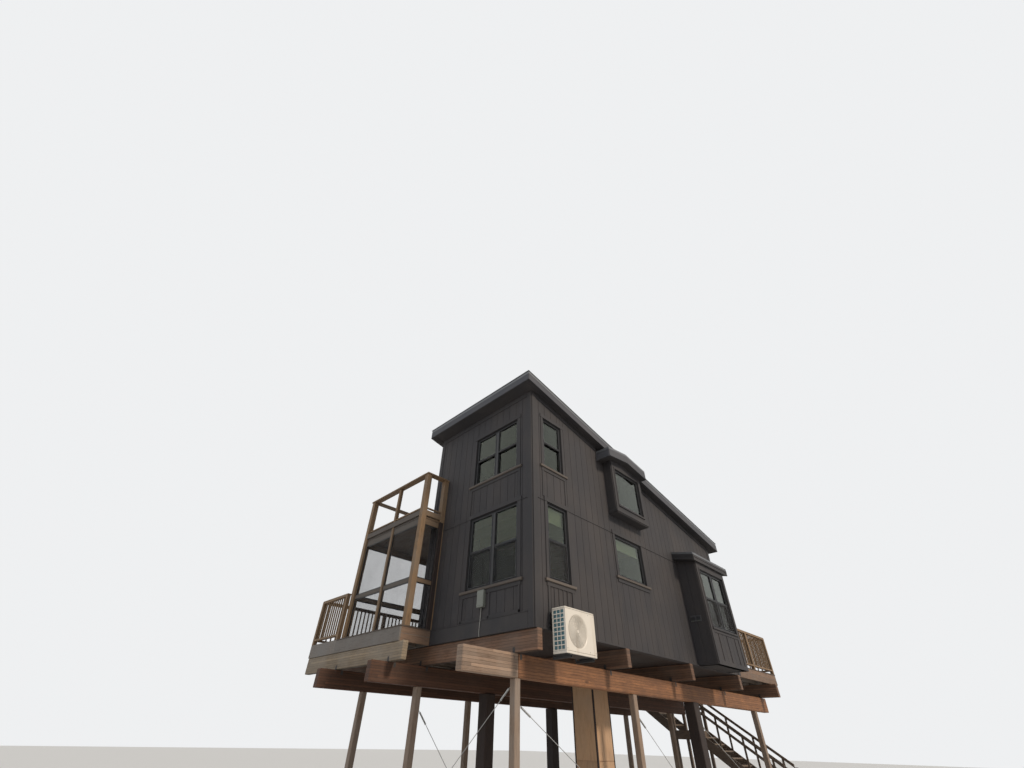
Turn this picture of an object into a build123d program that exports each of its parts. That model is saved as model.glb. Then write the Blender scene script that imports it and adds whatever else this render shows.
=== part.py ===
"""Tree house: a dark timber house on posts, with bays, a screened porch, decks and stairs.

Millimetres, +Z up. The origin lies on the ground at the middle of the plan.
Places are given from the house's near corner: x along the long right side,
y along the short front side, z from the ground.
"""

import os
from math import hypot

from build123d import *

# House
wall_base = 3100
house_length = 8800
house_width = 3660
wall = 150
high_wall = 5470
roof_slope = 0.211

# Floors
floor_depth = 300
sheet = 36
joist_width = 45
joist_spacing = 480
loft_top = 2900
loft_depth = 280
loft_length = 5000

# Roof
roof_depth = 270
roof_skin = 15
drip = 20
fascia = 25
high_overhang = 330
side_overhang = 220
low_overhang = 300

# Windows
frame_depth = 90
frame_setback = 15
frame_bar = 60
mullion = 120
meeting_rail = 50
glass = 20
low_sill = 910
low_head = 2540
front_low_start = 445
front_low_width = 1590
up_sill = 3420
up_head = 4790
front_up_start = 470
front_up_width = 1540
side_low_start = 445
side_low_width = 690
side_up_start = 385
side_up_width = 700
small_start = 3040
small_width = 1220
small_sill = 1510
small_head = 2530
left_start = 5600
left_width = 1220
rear_margin = 460
rear_width = 900

# Doors
door_width = 860
door_height = 2050
loft_door_height = 1950
door_leaf = 45
porch_door_start = 900
loft_door_start = 900
rear_door_start = 700

# Box bay
box_start = 2960
box_width = 1440
box_reach = 250
box_wall = 80
box_pane_margin = 130
box_pane_height = 1070
box_head_drop = 212
box_head_cover = 50
box_apron = 140
hood_left = 310
hood_right = 60
hood_reach = 450
hood_lift = 160
hood_rise = 110
hood_end_drop = 60
hood_peak_at = 560
hood_depth = 280
above_soffit = 540

# Tall bay
tall_from_end = 2550
tall_width = 1750
tall_reach = 550
tall_wall = 100
tall_top = 2620
tall_fall = 0.2
tall_roof_depth = 200
tall_roof_reach = 650
tall_roof_side = 200
tall_pane_margin = 140
tall_pane_sill = 850
tall_pane_head = 2320

# Beams
long_beam_width = 170
long_beam_depth = 370
cross_beam_width = 130
cross_beam_depth = 350
long_beam_start = -1190
long_beam_reach = 2900
near_beam_y = 605
middle_beam_inset = 175
far_beam_inset = 215
cross_beam_y = -50
cross_beam_first = 95
cross_beam_last_inset = 285
cross_beams_count = 5
porch_beam_x = -735
porch_beam_reach = 180

# Posts and chase
post = 140
stout = 280
near_post_x = 130
near_middle_post_x = 3900
near_stout_x = 6640
end_post_inset = 1030
middle_post_x = 70
middle_stout_x = 2100
far_post_x = 3430
far_stout_x = 7050
far_first_post_x = 70
far_end_post_inset = 300
chase = 600
chase_x = 3570
chase_y = 1460
chase_wall = 18

# Decks
deck_depth = 300
deck_board = 36
rim = 40
deck_joist_spacing = 560
porch_reach = 820
porch_return = 530
porch_end = 3000
porch_depth = 2290
walk_width = 1400
end_deck_length = 3200
end_deck_y = 100

# Porch and upper deck
porch_post = 140
porch_mid_post = 90
porch_inset = 100
porch_mid_from_near = 1370
porch_mid_x = 1100
porch_rail_height = 1320
porch_rail_depth = 90
header_bottom = 2600
upper_top = 2940
upper_depth = 190
upper_rail_top = 3970
upper_low_rail = 3040
cap = 38
cap_width = 180
cap_joint = 2
rail = 40
rail_depth = 90
screen = 4

# Deck railing
rail_height = 1050
baluster = 30
baluster_spacing = 125
low_rail_gap = 90
rail_post = 90
rail_post_spacing = 1900

# Stairs
stair_width = 950
stringer = 45
stringer_depth = 330
upper_risers = 8
upper_going = 255
landing_drop = 1448
landing_length = 895
landing_depth = 250
lower_risers = 11
lower_going = 262
tread = 40
handrail_height = 950
second_rail_drop = 250

# Outdoor unit, boxes and cables
unit_x = 365
unit_gap = 100
unit_width = 885
unit_depth = 320
unit_height = 765
unit_bottom = -410
bracket_width = 40
bracket_thick = 6
bracket_inset = 120
bracket_top = 200
unit_round = 14
fan_from_side = 360
fan_radius = 262
fan_depth = 50
fan_hub = 60
fan_hub_depth = 28
coil_depth = 16
coil_post = 34
coil_margin = 60
meter_y = 1350
meter_width = 190
meter_bottom = 520
meter_height = 320
meter_depth = 90
vent = 130
vent_depth = 40
vent_z = 1000
vent_near = 138
vent_far = 290
cable = 12
turnbuckle = 38
turnbuckle_length = 260
turnbuckle_from_head = 90
turnbuckle_slot = 14
turnbuckle_end = 30
stay_head = 2010
stay_foot = 120
cross_stay_head = 2290
lug = 90
lug_thick = 10
lug_seat = 7

# Places along the house
long_beam_end = house_length + long_beam_reach
end_deck_end = house_length + end_deck_length
walk_end = end_deck_end + stair_width
tall_start = house_length - tall_from_end

# Places across the house
porch_y = house_width - porch_return
walk_inner = house_width + porch_depth
walk_outer = walk_inner + walk_width
middle_beam_y = house_width - middle_beam_inset
far_beam_y = walk_inner - far_beam_inset

near_corner = Vector(
    -(long_beam_start + walk_end) / 2, -(walk_outer - tall_roof_reach) / 2, 0
)
deck_top = wall_base + deck_depth
beam_top = wall_base - cross_beam_depth
post_top = beam_top - long_beam_depth


def level(z):
    """Plan at height z, with x and y from the house's near corner."""
    return Plane(near_corner + Vector(0, 0, z))


def side(y):
    """Upright plane along the long side, with x and z; its normal points to -Y."""
    return Plane(near_corner + Vector(0, y, 0), x_dir=(1, 0, 0), z_dir=(0, -1, 0))


def end(x):
    """Upright plane along the short side, with y and z; its normal points to +X."""
    return Plane(near_corner + Vector(x, 0, 0), x_dir=(0, 1, 0), z_dir=(1, 0, 0))


def under_roof(x):
    """Height of the soffit at x."""
    return wall_base + high_wall - roof_slope * x


def block(x0, x1, y0, y1, z0, z1, mode=Mode.ADD):
    """Upright block between two corners."""
    with BuildSketch(level(z0)) as plan:
        with Locations(((x0 + x1) / 2, (y0 + y1) / 2)):
            Rectangle(x1 - x0, y1 - y0)
    extrude(plan.sketch, amount=z1 - z0, mode=mode)


def side_prism(points, y0, y1, mode=Mode.ADD):
    """Prism of an x-z outline between two places across the house."""
    with BuildSketch(side(y0)) as profile:
        with BuildLine():
            Polyline(*points, close=True)
        make_face()
    extrude(profile.sketch, amount=y0 - y1, mode=mode)


def end_prism(points, x0, x1, mode=Mode.ADD):
    """Prism of a y-z outline between two places along the house."""
    with BuildSketch(end(x0)) as profile:
        with BuildLine():
            Polyline(*points, close=True)
        make_face()
    extrude(profile.sketch, amount=x1 - x0, mode=mode)


def roof_layer(x0, x1, y0, y1, lift, depth, mode=Mode.ADD):
    """Slab that follows the roof's slope, lifted over the soffit."""
    outline = [
        (x0, under_roof(x0) + lift),
        (x1, under_roof(x1) + lift),
        (x1, under_roof(x1) + lift + depth),
        (x0, under_roof(x0) + lift + depth),
    ]
    side_prism(outline, y0, y1, mode)


def wall_piece(x0, x1, y0, y1):
    """Wall from its foot to the soffit."""
    outline = [
        (x0, wall_base),
        (x1, wall_base),
        (x1, under_roof(x1)),
        (x0, under_roof(x0)),
    ]
    side_prism(outline, y0, y1)


def hole(face, start, width, sill, head, depth):
    """Window or door hole through a wall; heights from the wall's foot."""
    with BuildSketch(face) as outline:
        with Locations((start + width / 2, wall_base + (sill + head) / 2)):
            Rectangle(width, head - sill)
    extrude(outline.sketch, amount=depth, mode=Mode.SUBTRACT)


def panes(start, width, sill, head, lights, hung):
    """Middle and size of each pane of a window unit, outer sash first."""
    light = (width - 2 * frame_bar - (lights - 1) * mullion) / lights
    rows = 2 if hung else 1
    height = (head - sill - 2 * frame_bar - (rows - 1) * meeting_rail) / rows
    result = []
    for row in range(rows):
        z = wall_base + head - frame_bar - height / 2 - row * (height + meeting_rail)
        for column in range(lights):
            x = start + frame_bar + light / 2 + column * (light + mullion)
            result.append((x, z, light, height))
    return result


def window(face, start, width, sill, head, inward, lights=1, hung=True):
    """Window frame with its sash bars, set back a little in its wall."""
    with BuildSketch(face.offset(inward * frame_setback)) as bars:
        with Locations((start + width / 2, wall_base + (sill + head) / 2)):
            Rectangle(width, head - sill)
        for x, z, pane_width, pane_height in panes(start, width, sill, head, lights, hung):
            with Locations((x, z)):
                Rectangle(pane_width, pane_height, mode=Mode.SUBTRACT)
    extrude(bars.sketch, amount=inward * frame_depth)


def glazing(face, start, width, sill, head, inward, lights=1, hung=True):
    """Panes of a window; the lower sash lies one pane further in."""
    for x, z, pane_width, pane_height in panes(start, width, sill, head, lights, hung):
        lower = hung and z < wall_base + (sill + head) / 2
        depth = frame_setback + glass * (2 if lower else 1)
        with BuildSketch(face.offset(inward * depth)) as pane:
            with Locations((x, z)):
                Rectangle(pane_width, pane_height)
        extrude(pane.sketch, amount=inward * glass)


def spans(bays, bottom, top, thick, half_width):
    """Boards or rails between posts in line along x or y; half_width gives half a post's size."""
    with BuildSketch(level(bottom)) as plan:
        for a, b in bays:
            (ax, ay), (bx, by) = sorted([a, b])
            start, finish = (half_width(point) for point in sorted([a, b]))
            length = hypot(bx - ax, by - ay) - start - finish
            shift = (start - finish) / 2
            if bx - ax > by - ay:
                with Locations(((ax + bx) / 2 + shift, ay)):
                    Rectangle(length, thick)
            else:
                with Locations((ax, (ay + by) / 2 + shift)):
                    Rectangle(thick, length)
    extrude(plan.sketch, amount=top - bottom)


def square_posts(points, size, bottom, top, mode=Mode.ADD):
    """Upright posts around points."""
    with BuildSketch(level(bottom)) as plan:
        with Locations(*points):
            Rectangle(size, size)
    extrude(plan.sketch, amount=top - bottom, mode=mode)


def ribbed_deck(x0, x1, y0, y1, top, depth, spacing):
    """Boards on rims and joists; the joists run along x."""
    count = round((y1 - y0 - rim) / spacing)
    pitch = (y1 - y0 - rim) / count
    first = y0 + rim / 2 + pitch / 2
    middle = (x0 + x1) / 2
    gaps = [(middle, first + i * pitch) for i in range(count)]
    with BuildSketch(level(top - depth)) as grid:
        with Locations((middle, (y0 + y1) / 2)):
            Rectangle(x1 - x0, y1 - y0)
        with Locations(*gaps):
            Rectangle(x1 - x0 - 2 * rim, pitch - rim, mode=Mode.SUBTRACT)
    extrude(grid.sketch, amount=depth - deck_board)
    block(x0, x1, y0, y1, top - deck_board, top)


def baluster_points(a, b, gap):
    """Places of the balusters between two posts, evenly spaced."""
    (ax, ay), (bx, by) = sorted([a, b])
    length = hypot(bx - ax, by - ay)
    clear = length - 2 * gap
    count = round(clear / baluster_spacing)
    shares = [(gap + i * clear / count) / length for i in range(1, count)]
    return [(ax + (bx - ax) * share, ay + (by - ay) * share) for share in shares]


tall_end = tall_start + tall_width
box_end = box_start + box_width
box_pane_head = under_roof(box_end) - wall_base - box_head_drop
box_pane_sill = box_pane_head - box_pane_height
box_room_top = box_pane_head + box_head_cover
box_bottom = box_pane_sill - box_apron
rear_start = house_width - rear_margin - rear_width

front_face = end(0)
rear_face = end(house_length)
right_face = side(0)
left_face = side(house_width)

# Walls
with BuildPart() as front_wall:
    wall_piece(0, wall, wall, house_width - wall)
    hole(front_face, front_low_start, front_low_width, low_sill, low_head, wall)
    hole(front_face, front_up_start, front_up_width, up_sill, up_head, wall)

with BuildPart() as rear_wall:
    wall_piece(house_length - wall, house_length, wall, house_width - wall)
    hole(rear_face, rear_door_start, door_width, floor_depth, floor_depth + door_height, -wall)
    hole(rear_face, rear_start, rear_width, low_sill, low_head, -wall)

with BuildPart() as right_wall:
    wall_piece(0, house_length, 0, wall)
    hole(right_face, side_low_start, side_low_width, low_sill, low_head, -wall)
    hole(right_face, side_up_start, side_up_width, up_sill, up_head, -wall)
    hole(right_face, small_start, small_width, small_sill, small_head, -wall)
    hole(right_face, box_start + box_wall, box_width - 2 * box_wall,
         box_bottom + box_wall, box_room_top, -wall)
    hole(right_face, tall_start + tall_wall, tall_width - 2 * tall_wall,
         floor_depth, tall_top - tall_wall, -wall)

with BuildPart() as left_wall:
    wall_piece(0, house_length, house_width - wall, house_width)
    hole(left_face, porch_door_start, door_width, floor_depth, floor_depth + door_height, wall)
    hole(left_face, loft_door_start, door_width, upper_top, upper_top + loft_door_height, wall)
    hole(left_face, left_start, left_width, small_sill, small_head, wall)

# Floors
with BuildPart() as house_floor:
    block(wall, house_length - wall, wall, house_width - wall,
          wall_base + floor_depth - sheet, wall_base + floor_depth)
    joists = round((house_width - 2 * wall) / joist_spacing)
    for i in range(joists + 1):
        y = wall + joist_width / 2 + i * (house_width - 2 * wall - joist_width) / joists
        block(wall, house_length - wall, y - joist_width / 2, y + joist_width / 2,
              wall_base, wall_base + floor_depth - sheet)

with BuildPart() as loft_floor:
    block(wall, loft_length, wall, house_width - wall,
          wall_base + loft_top - sheet, wall_base + loft_top)
    joists = round((loft_length - wall) / joist_spacing)
    for i in range(joists + 1):
        x = wall + joist_width / 2 + i * (loft_length - wall - joist_width) / joists
        block(x - joist_width / 2, x + joist_width / 2, wall, house_width - wall,
              wall_base + loft_top - loft_depth, wall_base + loft_top - sheet)

# Roof
roof_x0 = -high_overhang
roof_x1 = house_length + low_overhang
roof_y0 = -side_overhang
roof_y1 = house_width + side_overhang

with BuildPart() as roof_panel:
    roof_layer(roof_x0 + fascia, roof_x1 - fascia, roof_y0 + fascia, roof_y1 - fascia,
               0, roof_depth)

with BuildPart() as roof_fascia:
    roof_layer(roof_x0, roof_x1, roof_y0, roof_y1, 0, roof_depth)
    roof_layer(roof_x0 + fascia, roof_x1 - fascia, roof_y0 + fascia, roof_y1 - fascia,
               0, roof_depth, Mode.SUBTRACT)

with BuildPart() as roof_sheet:
    roof_layer(roof_x0 - drip, roof_x1 + drip, roof_y0 - drip, roof_y1 + drip,
               roof_depth, roof_skin)

# Box bay, high on the right side, under a small hood
hood_eave = wall_base + box_pane_head + hood_lift
hood_peak = hood_eave + hood_rise
hood_outline = [
    (box_start - hood_left, hood_eave),
    (box_start + hood_peak_at, hood_peak),
    (box_end + hood_right, hood_eave - hood_end_drop),
]
hood_top = [(x, z + hood_depth) for x, z in reversed(hood_outline)]

with BuildPart() as box_bay:
    block(box_start, box_end, -box_reach, 0, wall_base + box_bottom, hood_peak)
    block(box_start + box_wall, box_end - box_wall, box_wall - box_reach, 0,
          wall_base + box_bottom + box_wall, wall_base + box_room_top, Mode.SUBTRACT)
    hole(side(-box_reach), box_start + box_pane_margin, box_width - 2 * box_pane_margin,
         box_pane_sill, box_pane_head, -box_wall)
    side_prism(hood_outline + hood_top, -box_reach, 0, Mode.SUBTRACT)
    roof_layer(roof_x0, roof_x1, roof_y0, 0, 0, above_soffit, Mode.SUBTRACT)

with BuildPart() as box_bay_roof:
    side_prism(hood_outline + hood_top, -hood_reach, 0)
    roof_layer(roof_x0 - drip, roof_x1 + drip, roof_y0 - drip, 0, 0, above_soffit, Mode.SUBTRACT)

# Tall bay, at floor level on the right side
def tall_under(y):
    """Underside of the tall bay's roof at y, which is negative outside the wall."""
    return wall_base + tall_top + tall_fall * y


with BuildPart() as tall_bay:
    end_prism(
        [
            (0, wall_base),
            (0, tall_under(0)),
            (-tall_reach, tall_under(-tall_reach)),
            (-tall_reach, wall_base),
        ],
        tall_start, tall_end,
    )
    block(tall_start + tall_wall, tall_end - tall_wall, tall_wall - tall_reach, 0,
          wall_base + floor_depth, wall_base + tall_top, Mode.SUBTRACT)
    block(tall_start + tall_wall, tall_end - tall_wall, tall_wall - tall_reach, 0,
          wall_base, wall_base + floor_depth - sheet, Mode.SUBTRACT)
    hole(side(-tall_reach), tall_start + tall_pane_margin, tall_width - 2 * tall_pane_margin,
         tall_pane_sill, tall_pane_head, -tall_wall)

with BuildPart() as tall_bay_roof:
    end_prism(
        [
            (0, tall_under(0)),
            (0, tall_under(0) + tall_roof_depth),
            (-tall_roof_reach, tall_under(-tall_roof_reach) + tall_roof_depth),
            (-tall_roof_reach, tall_under(-tall_roof_reach)),
        ],
        tall_start - tall_roof_side, tall_end + tall_roof_side,
    )

# Windows
with BuildPart() as front_windows:
    window(front_face, front_low_start, front_low_width, low_sill, low_head, 1, 2)
    window(front_face, front_up_start, front_up_width, up_sill, up_head, 1, 2)

with BuildPart() as front_glass:
    glazing(front_face, front_low_start, front_low_width, low_sill, low_head, 1, 2)
    glazing(front_face, front_up_start, front_up_width, up_sill, up_head, 1, 2)

box_pane_start = box_start + box_pane_margin
box_pane_width = box_width - 2 * box_pane_margin
tall_pane_start = tall_start + tall_pane_margin
tall_pane_width = tall_width - 2 * tall_pane_margin
box_face = side(-box_reach)
tall_face = side(-tall_reach)

with BuildPart() as right_windows:
    window(right_face, side_low_start, side_low_width, low_sill, low_head, -1)
    window(right_face, side_up_start, side_up_width, up_sill, up_head, -1)
    window(right_face, small_start, small_width, small_sill, small_head, -1, 1, False)
    window(box_face, box_pane_start, box_pane_width, box_pane_sill, box_pane_head, -1, 1, False)
    window(tall_face, tall_pane_start, tall_pane_width, tall_pane_sill, tall_pane_head, -1, 2)

with BuildPart() as right_glass:
    glazing(right_face, side_low_start, side_low_width, low_sill, low_head, -1)
    glazing(right_face, side_up_start, side_up_width, up_sill, up_head, -1)
    glazing(right_face, small_start, small_width, small_sill, small_head, -1, 1, False)
    glazing(box_face, box_pane_start, box_pane_width, box_pane_sill, box_pane_head, -1, 1, False)
    glazing(tall_face, tall_pane_start, tall_pane_width, tall_pane_sill, tall_pane_head, -1, 2)

with BuildPart() as left_windows:
    window(left_face, left_start, left_width, small_sill, small_head, 1, 1, False)
    window(rear_face, rear_start, rear_width, low_sill, low_head, -1)

with BuildPart() as left_glass:
    glazing(left_face, left_start, left_width, small_sill, small_head, 1, 1, False)
    glazing(rear_face, rear_start, rear_width, low_sill, low_head, -1)

# Doors, closed in their walls
with BuildPart() as doors:
    block(porch_door_start, porch_door_start + door_width,
          house_width - wall / 2 - door_leaf / 2, house_width - wall / 2 + door_leaf / 2,
          wall_base + floor_depth, wall_base + floor_depth + door_height)
    block(loft_door_start, loft_door_start + door_width,
          house_width - wall / 2 - door_leaf / 2, house_width - wall / 2 + door_leaf / 2,
          wall_base + upper_top, wall_base + upper_top + loft_door_height)
    block(house_length - wall / 2 - door_leaf / 2, house_length - wall / 2 + door_leaf / 2,
          rear_door_start, rear_door_start + door_width,
          wall_base + floor_depth, wall_base + floor_depth + door_height)


# Beams under the floor
def long_beam(y, start, finish):
    """Glued beam along the house."""
    half = long_beam_width / 2
    block(start, finish, y - half, y + half, post_top, beam_top)


with BuildPart() as near_beam:
    long_beam(near_beam_y, long_beam_start, long_beam_end)

with BuildPart() as middle_beam:
    long_beam(middle_beam_y, long_beam_start, long_beam_end)

with BuildPart() as far_beam:
    long_beam(far_beam_y, long_beam_start, long_beam_end)

with BuildPart() as cross_beams:
    half = cross_beam_width / 2
    cross_beam_last = long_beam_end - cross_beam_last_inset
    cross_beam_pitch = (cross_beam_last - cross_beam_first) / (cross_beams_count - 1)
    for i in range(cross_beams_count):
        x = cross_beam_first + i * cross_beam_pitch
        block(x - half, x + half, cross_beam_y, walk_outer, beam_top, wall_base)
    block(porch_beam_x - half, porch_beam_x + half, porch_y - porch_beam_reach, walk_outer,
          beam_top, wall_base)

# Posts
end_post_x = long_beam_end - end_post_inset
with BuildPart() as near_posts:
    slim = (near_post_x, near_middle_post_x, end_post_x)
    square_posts([(x, near_beam_y) for x in slim], post, 0, post_top)
    square_posts([(near_stout_x, near_beam_y)], stout, 0, post_top)

with BuildPart() as middle_posts:
    slim = (middle_post_x, end_post_x)
    square_posts([(x, middle_beam_y) for x in slim], post, 0, post_top)
    square_posts([(middle_stout_x, middle_beam_y)], stout, 0, post_top)

with BuildPart() as far_posts:
    slim = (far_first_post_x, far_post_x, long_beam_end - far_end_post_inset)
    square_posts([(x, far_beam_y) for x in slim], post, 0, post_top)
    square_posts([(far_stout_x, far_beam_y)], stout, 0, post_top)

with BuildPart() as service_chase:
    block(chase_x, chase_x + chase, chase_y, chase_y + chase, 0, wall_base)
    block(chase_x + chase_wall, chase_x + chase - chase_wall,
          chase_y + chase_wall, chase_y + chase - chase_wall, 0, wall_base, Mode.SUBTRACT)


# Stays between the posts, each with an open turnbuckle near its head
def stay(start, finish):
    """Cable between two lugs, with the slotted body of its turnbuckle."""
    head = near_corner + Vector(*start)
    line = Vector(*finish) - Vector(*start)
    body = head + line.normalized() * turnbuckle_from_head
    with BuildSketch(Plane(origin=body, z_dir=line)) as barrel:
        RegularPolygon(turnbuckle / 2, 6)
    extrude(barrel.sketch, amount=turnbuckle_length)
    slot_start = body + line.normalized() * turnbuckle_end
    with BuildSketch(Plane(origin=slot_start, z_dir=line)) as slot:
        Rectangle(turnbuckle, turnbuckle_slot)
    extrude(slot.sketch, amount=turnbuckle_length - 2 * turnbuckle_end, mode=Mode.SUBTRACT)
    with BuildSketch(Plane(origin=head, z_dir=line)) as wire:
        Circle(cable / 2)
    extrude(wire.sketch, amount=line.length)


def stay_along(x0, x1, y):
    """Stay along the house from a high lug at x0 to a low lug at x1."""
    block(x0, x0 + lug_thick, y - lug / 2, y + lug / 2, stay_head - lug / 2, stay_head + lug / 2)
    block(x1 - lug_thick, x1, y - lug / 2, y + lug / 2, stay_foot - lug / 2, stay_foot + lug / 2)
    stay((x0 + lug_seat, y, stay_head), (x1 - lug_seat, y, stay_foot))


def stay_across(x0, x1, y0, y1):
    """Stay across the house from a high lug at x0, y0 to a low lug at x1, y1."""
    block(x0 - lug / 2, x0 + lug / 2, y0, y0 + lug_thick,
          cross_stay_head - lug / 2, cross_stay_head + lug / 2)
    block(x1 - lug / 2, x1 + lug / 2, y1 - lug_thick, y1, stay_foot - lug / 2, stay_foot + lug / 2)
    stay((x0, y0 + lug_seat, cross_stay_head), (x1, y1 - lug_seat, stay_foot))


slim_half = post / 2
stout_half = stout / 2
with BuildPart() as bracing_cables:
    stay_along(near_post_x + slim_half, near_middle_post_x - slim_half, near_beam_y)
    stay_along(near_middle_post_x + slim_half, near_stout_x - stout_half, near_beam_y)
    stay_along(near_stout_x + stout_half, end_post_x - slim_half, near_beam_y)
    stay_along(middle_post_x + slim_half, middle_stout_x - stout_half, middle_beam_y)
    stay_across(near_post_x, middle_post_x, near_beam_y + slim_half, middle_beam_y - slim_half)

# Decks
with BuildPart() as porch_deck:
    ribbed_deck(-porch_reach, porch_end, porch_y, walk_inner, deck_top, deck_depth,
                deck_joist_spacing)
    block(0, porch_end, porch_y, house_width, wall_base, deck_top, Mode.SUBTRACT)

with BuildPart() as back_deck:
    ribbed_deck(porch_end, house_length, house_width, walk_inner, deck_top, deck_depth,
                deck_joist_spacing)

with BuildPart() as end_deck:
    ribbed_deck(house_length, end_deck_end, end_deck_y, walk_inner, deck_top, deck_depth,
                deck_joist_spacing)

with BuildPart() as walkway:
    ribbed_deck(-porch_reach, walk_end, walk_inner, walk_outer, deck_top, deck_depth,
                deck_joist_spacing)

# Porch
half_post = porch_post / 2
front_line = porch_inset - porch_reach + half_post
near_line = porch_y + half_post
far_line = walk_inner - half_post
end_line = porch_end - half_post
front_mid = (front_line, porch_y + porch_mid_from_near)
far_mid = (porch_mid_x, far_line)
porch_points = [
    (-half_post, near_line),
    (front_line, near_line),
    front_mid,
    (front_line, far_line),
    far_mid,
    (end_line, far_line),
    (end_line, house_width + half_post),
]
porch_bays = list(zip(porch_points, porch_points[1:]))
porch_mids = (front_mid, far_mid)
porch_corners = [point for point in porch_points if point not in porch_mids]


def porch_half(point):
    """Half the size of the porch's post at a point."""
    return porch_mid_post / 2 if point in porch_mids else half_post


with BuildPart() as porch_posts:
    post_head = wall_base + upper_rail_top - cap
    square_posts(porch_corners, porch_post, deck_top, post_head)
    square_posts(porch_mids, porch_mid_post, deck_top, post_head)

upper_x0 = porch_inset - porch_reach
with BuildPart() as upper_deck:
    ribbed_deck(upper_x0, porch_end, porch_y, walk_inner, wall_base + upper_top,
                upper_depth, deck_joist_spacing)
    block(0, porch_end, porch_y, house_width,
          wall_base + upper_top - upper_depth, wall_base + upper_top, Mode.SUBTRACT)
    for points, size in ((porch_corners, porch_post), (porch_mids, porch_mid_post)):
        square_posts(points, size, wall_base + upper_top - upper_depth,
                     wall_base + upper_top, Mode.SUBTRACT)

with BuildPart() as porch_header:
    spans(porch_bays, wall_base + header_bottom, wall_base + upper_top - upper_depth,
          rim, porch_half)

with BuildPart() as porch_rails:
    spans(porch_bays, wall_base + porch_rail_height - porch_rail_depth,
          wall_base + porch_rail_height, rail, porch_half)

with BuildPart() as porch_screens:
    spans(porch_bays, deck_top, wall_base + porch_rail_height - porch_rail_depth,
          screen, porch_half)
    spans(porch_bays, wall_base + porch_rail_height, wall_base + header_bottom,
          screen, porch_half)

half_cap = cap_width / 2
cap_side = half_cap + cap_joint
with BuildPart() as upper_deck_rails:
    spans(porch_bays, wall_base + upper_low_rail - rail, wall_base + upper_low_rail,
          rail, porch_half)
    block(front_line + cap_side, 0, near_line - half_cap, near_line + half_cap,
          post_head, post_head + cap)
    block(front_line - half_cap, front_line + half_cap, near_line - half_cap,
          far_line + half_cap, post_head, post_head + cap)
    block(front_line + cap_side, end_line - cap_side, far_line - half_cap,
          far_line + half_cap, post_head, post_head + cap)
    block(end_line - half_cap, end_line + half_cap, house_width, far_line + half_cap,
          post_head, post_head + cap)


# Railing along the walkway and the end deck
def post_line(a, b):
    """Railing posts from a to b, evenly spaced, both ends included."""
    (ax, ay), (bx, by) = a, b
    count = max(1, round(hypot(bx - ax, by - ay) / rail_post_spacing))
    return [
        (ax + (bx - ax) * i / count, ay + (by - ay) * i / count) for i in range(count + 1)
    ]


edge = rail_post / 2
outer_line = walk_outer - edge
outer_left = (edge - porch_reach, outer_line)
outer_right = (walk_end - edge, outer_line)
inner_line = walk_inner + edge
near_rail_y = end_deck_y + edge
near_rail_right = (end_deck_end - edge, near_rail_y)
runs = [
    post_line(outer_left, outer_right),
    post_line((edge - porch_reach, inner_line), outer_left),
    post_line((walk_end - edge, inner_line), outer_right),
    post_line((house_length + edge, near_rail_y), near_rail_right),
    post_line(near_rail_right, (end_deck_end - edge, walk_inner - edge)),
]
rail_bays = [bay for run in runs for bay in zip(run, run[1:])]
rail_points = sorted({point for run in runs for point in run})
rail_low = deck_top + low_rail_gap
rail_high = deck_top + rail_height


def rail_half(point):
    """Half the size of a railing post, the same at every point."""
    return edge


with BuildPart() as deck_railing:
    square_posts(rail_points, rail_post, deck_top, rail_high)
    spans(rail_bays, rail_low, rail_low + rail, rail_depth, rail_half)
    spans(rail_bays, rail_high - rail, rail_high, rail_depth, rail_half)
    fillers = [point for a, b in rail_bays for point in baluster_points(a, b, edge)]
    square_posts(fillers, baluster, rail_low + rail, rail_high - rail)

# Stairs
upper_rise = landing_drop / upper_risers
landing_top = deck_top - landing_drop
lower_rise = landing_top / lower_risers
landing_y1 = walk_inner - (upper_risers - 1) * upper_going
landing_y0 = landing_y1 - landing_length
foot_y = landing_y0 - (lower_risers - 1) * lower_going
stair_x0 = end_deck_end
stair_x1 = walk_end


def flight_treads(y, z, risers, rise, going):
    """Treads of a flight that goes down towards -Y from its top edge."""
    for i in range(1, risers):
        block(stair_x0 + stringer, stair_x1 - stringer, y - i * going, y - (i - 1) * going,
              z - i * rise - tread, z - i * rise)


with BuildPart() as stair_treads:
    flight_treads(walk_inner, deck_top, upper_risers, upper_rise, upper_going)
    flight_treads(landing_y0, landing_top, lower_risers, lower_rise, lower_going)


def sloped_rail(x, y_high, y_low, z_high, z_low, lift):
    """Handrail over a flight's nosing line."""
    end_prism(
        [
            (y_high, z_high + lift),
            (y_high, z_high + lift - rail_depth),
            (y_low, z_low + lift - rail_depth),
            (y_low, z_low + lift),
        ],
        x - rail / 2, x + rail / 2,
    )


upper_line_low = deck_top - (upper_risers - 1) * upper_rise
lower_slope = lower_rise / lower_going
lower_touch = landing_y0 - (landing_top - stringer_depth) / lower_slope

with BuildPart() as stair_stringers:
    for x in (stair_x0, stair_x1 - stringer):
        end_prism(
            [
                (walk_inner, deck_top),
                (walk_inner, deck_top - stringer_depth),
                (landing_y1, upper_line_low - stringer_depth),
                (landing_y1, upper_line_low),
            ],
            x, x + stringer,
        )
        end_prism(
            [
                (landing_y0, landing_top),
                (landing_y0, landing_top - stringer_depth),
                (lower_touch, 0),
                (foot_y, 0),
                (foot_y, lower_rise),
            ],
            x, x + stringer,
        )

landing_points = [
    (x, y)
    for x in (stair_x0 + edge, stair_x1 - edge)
    for y in (landing_y0 + edge, landing_y1 - edge)
]

with BuildPart() as stair_landing:
    ribbed_deck(stair_x0, stair_x1, landing_y0, landing_y1, landing_top, landing_depth,
                deck_joist_spacing)
    square_posts(landing_points, rail_post, 0, landing_top - landing_depth)

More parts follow.
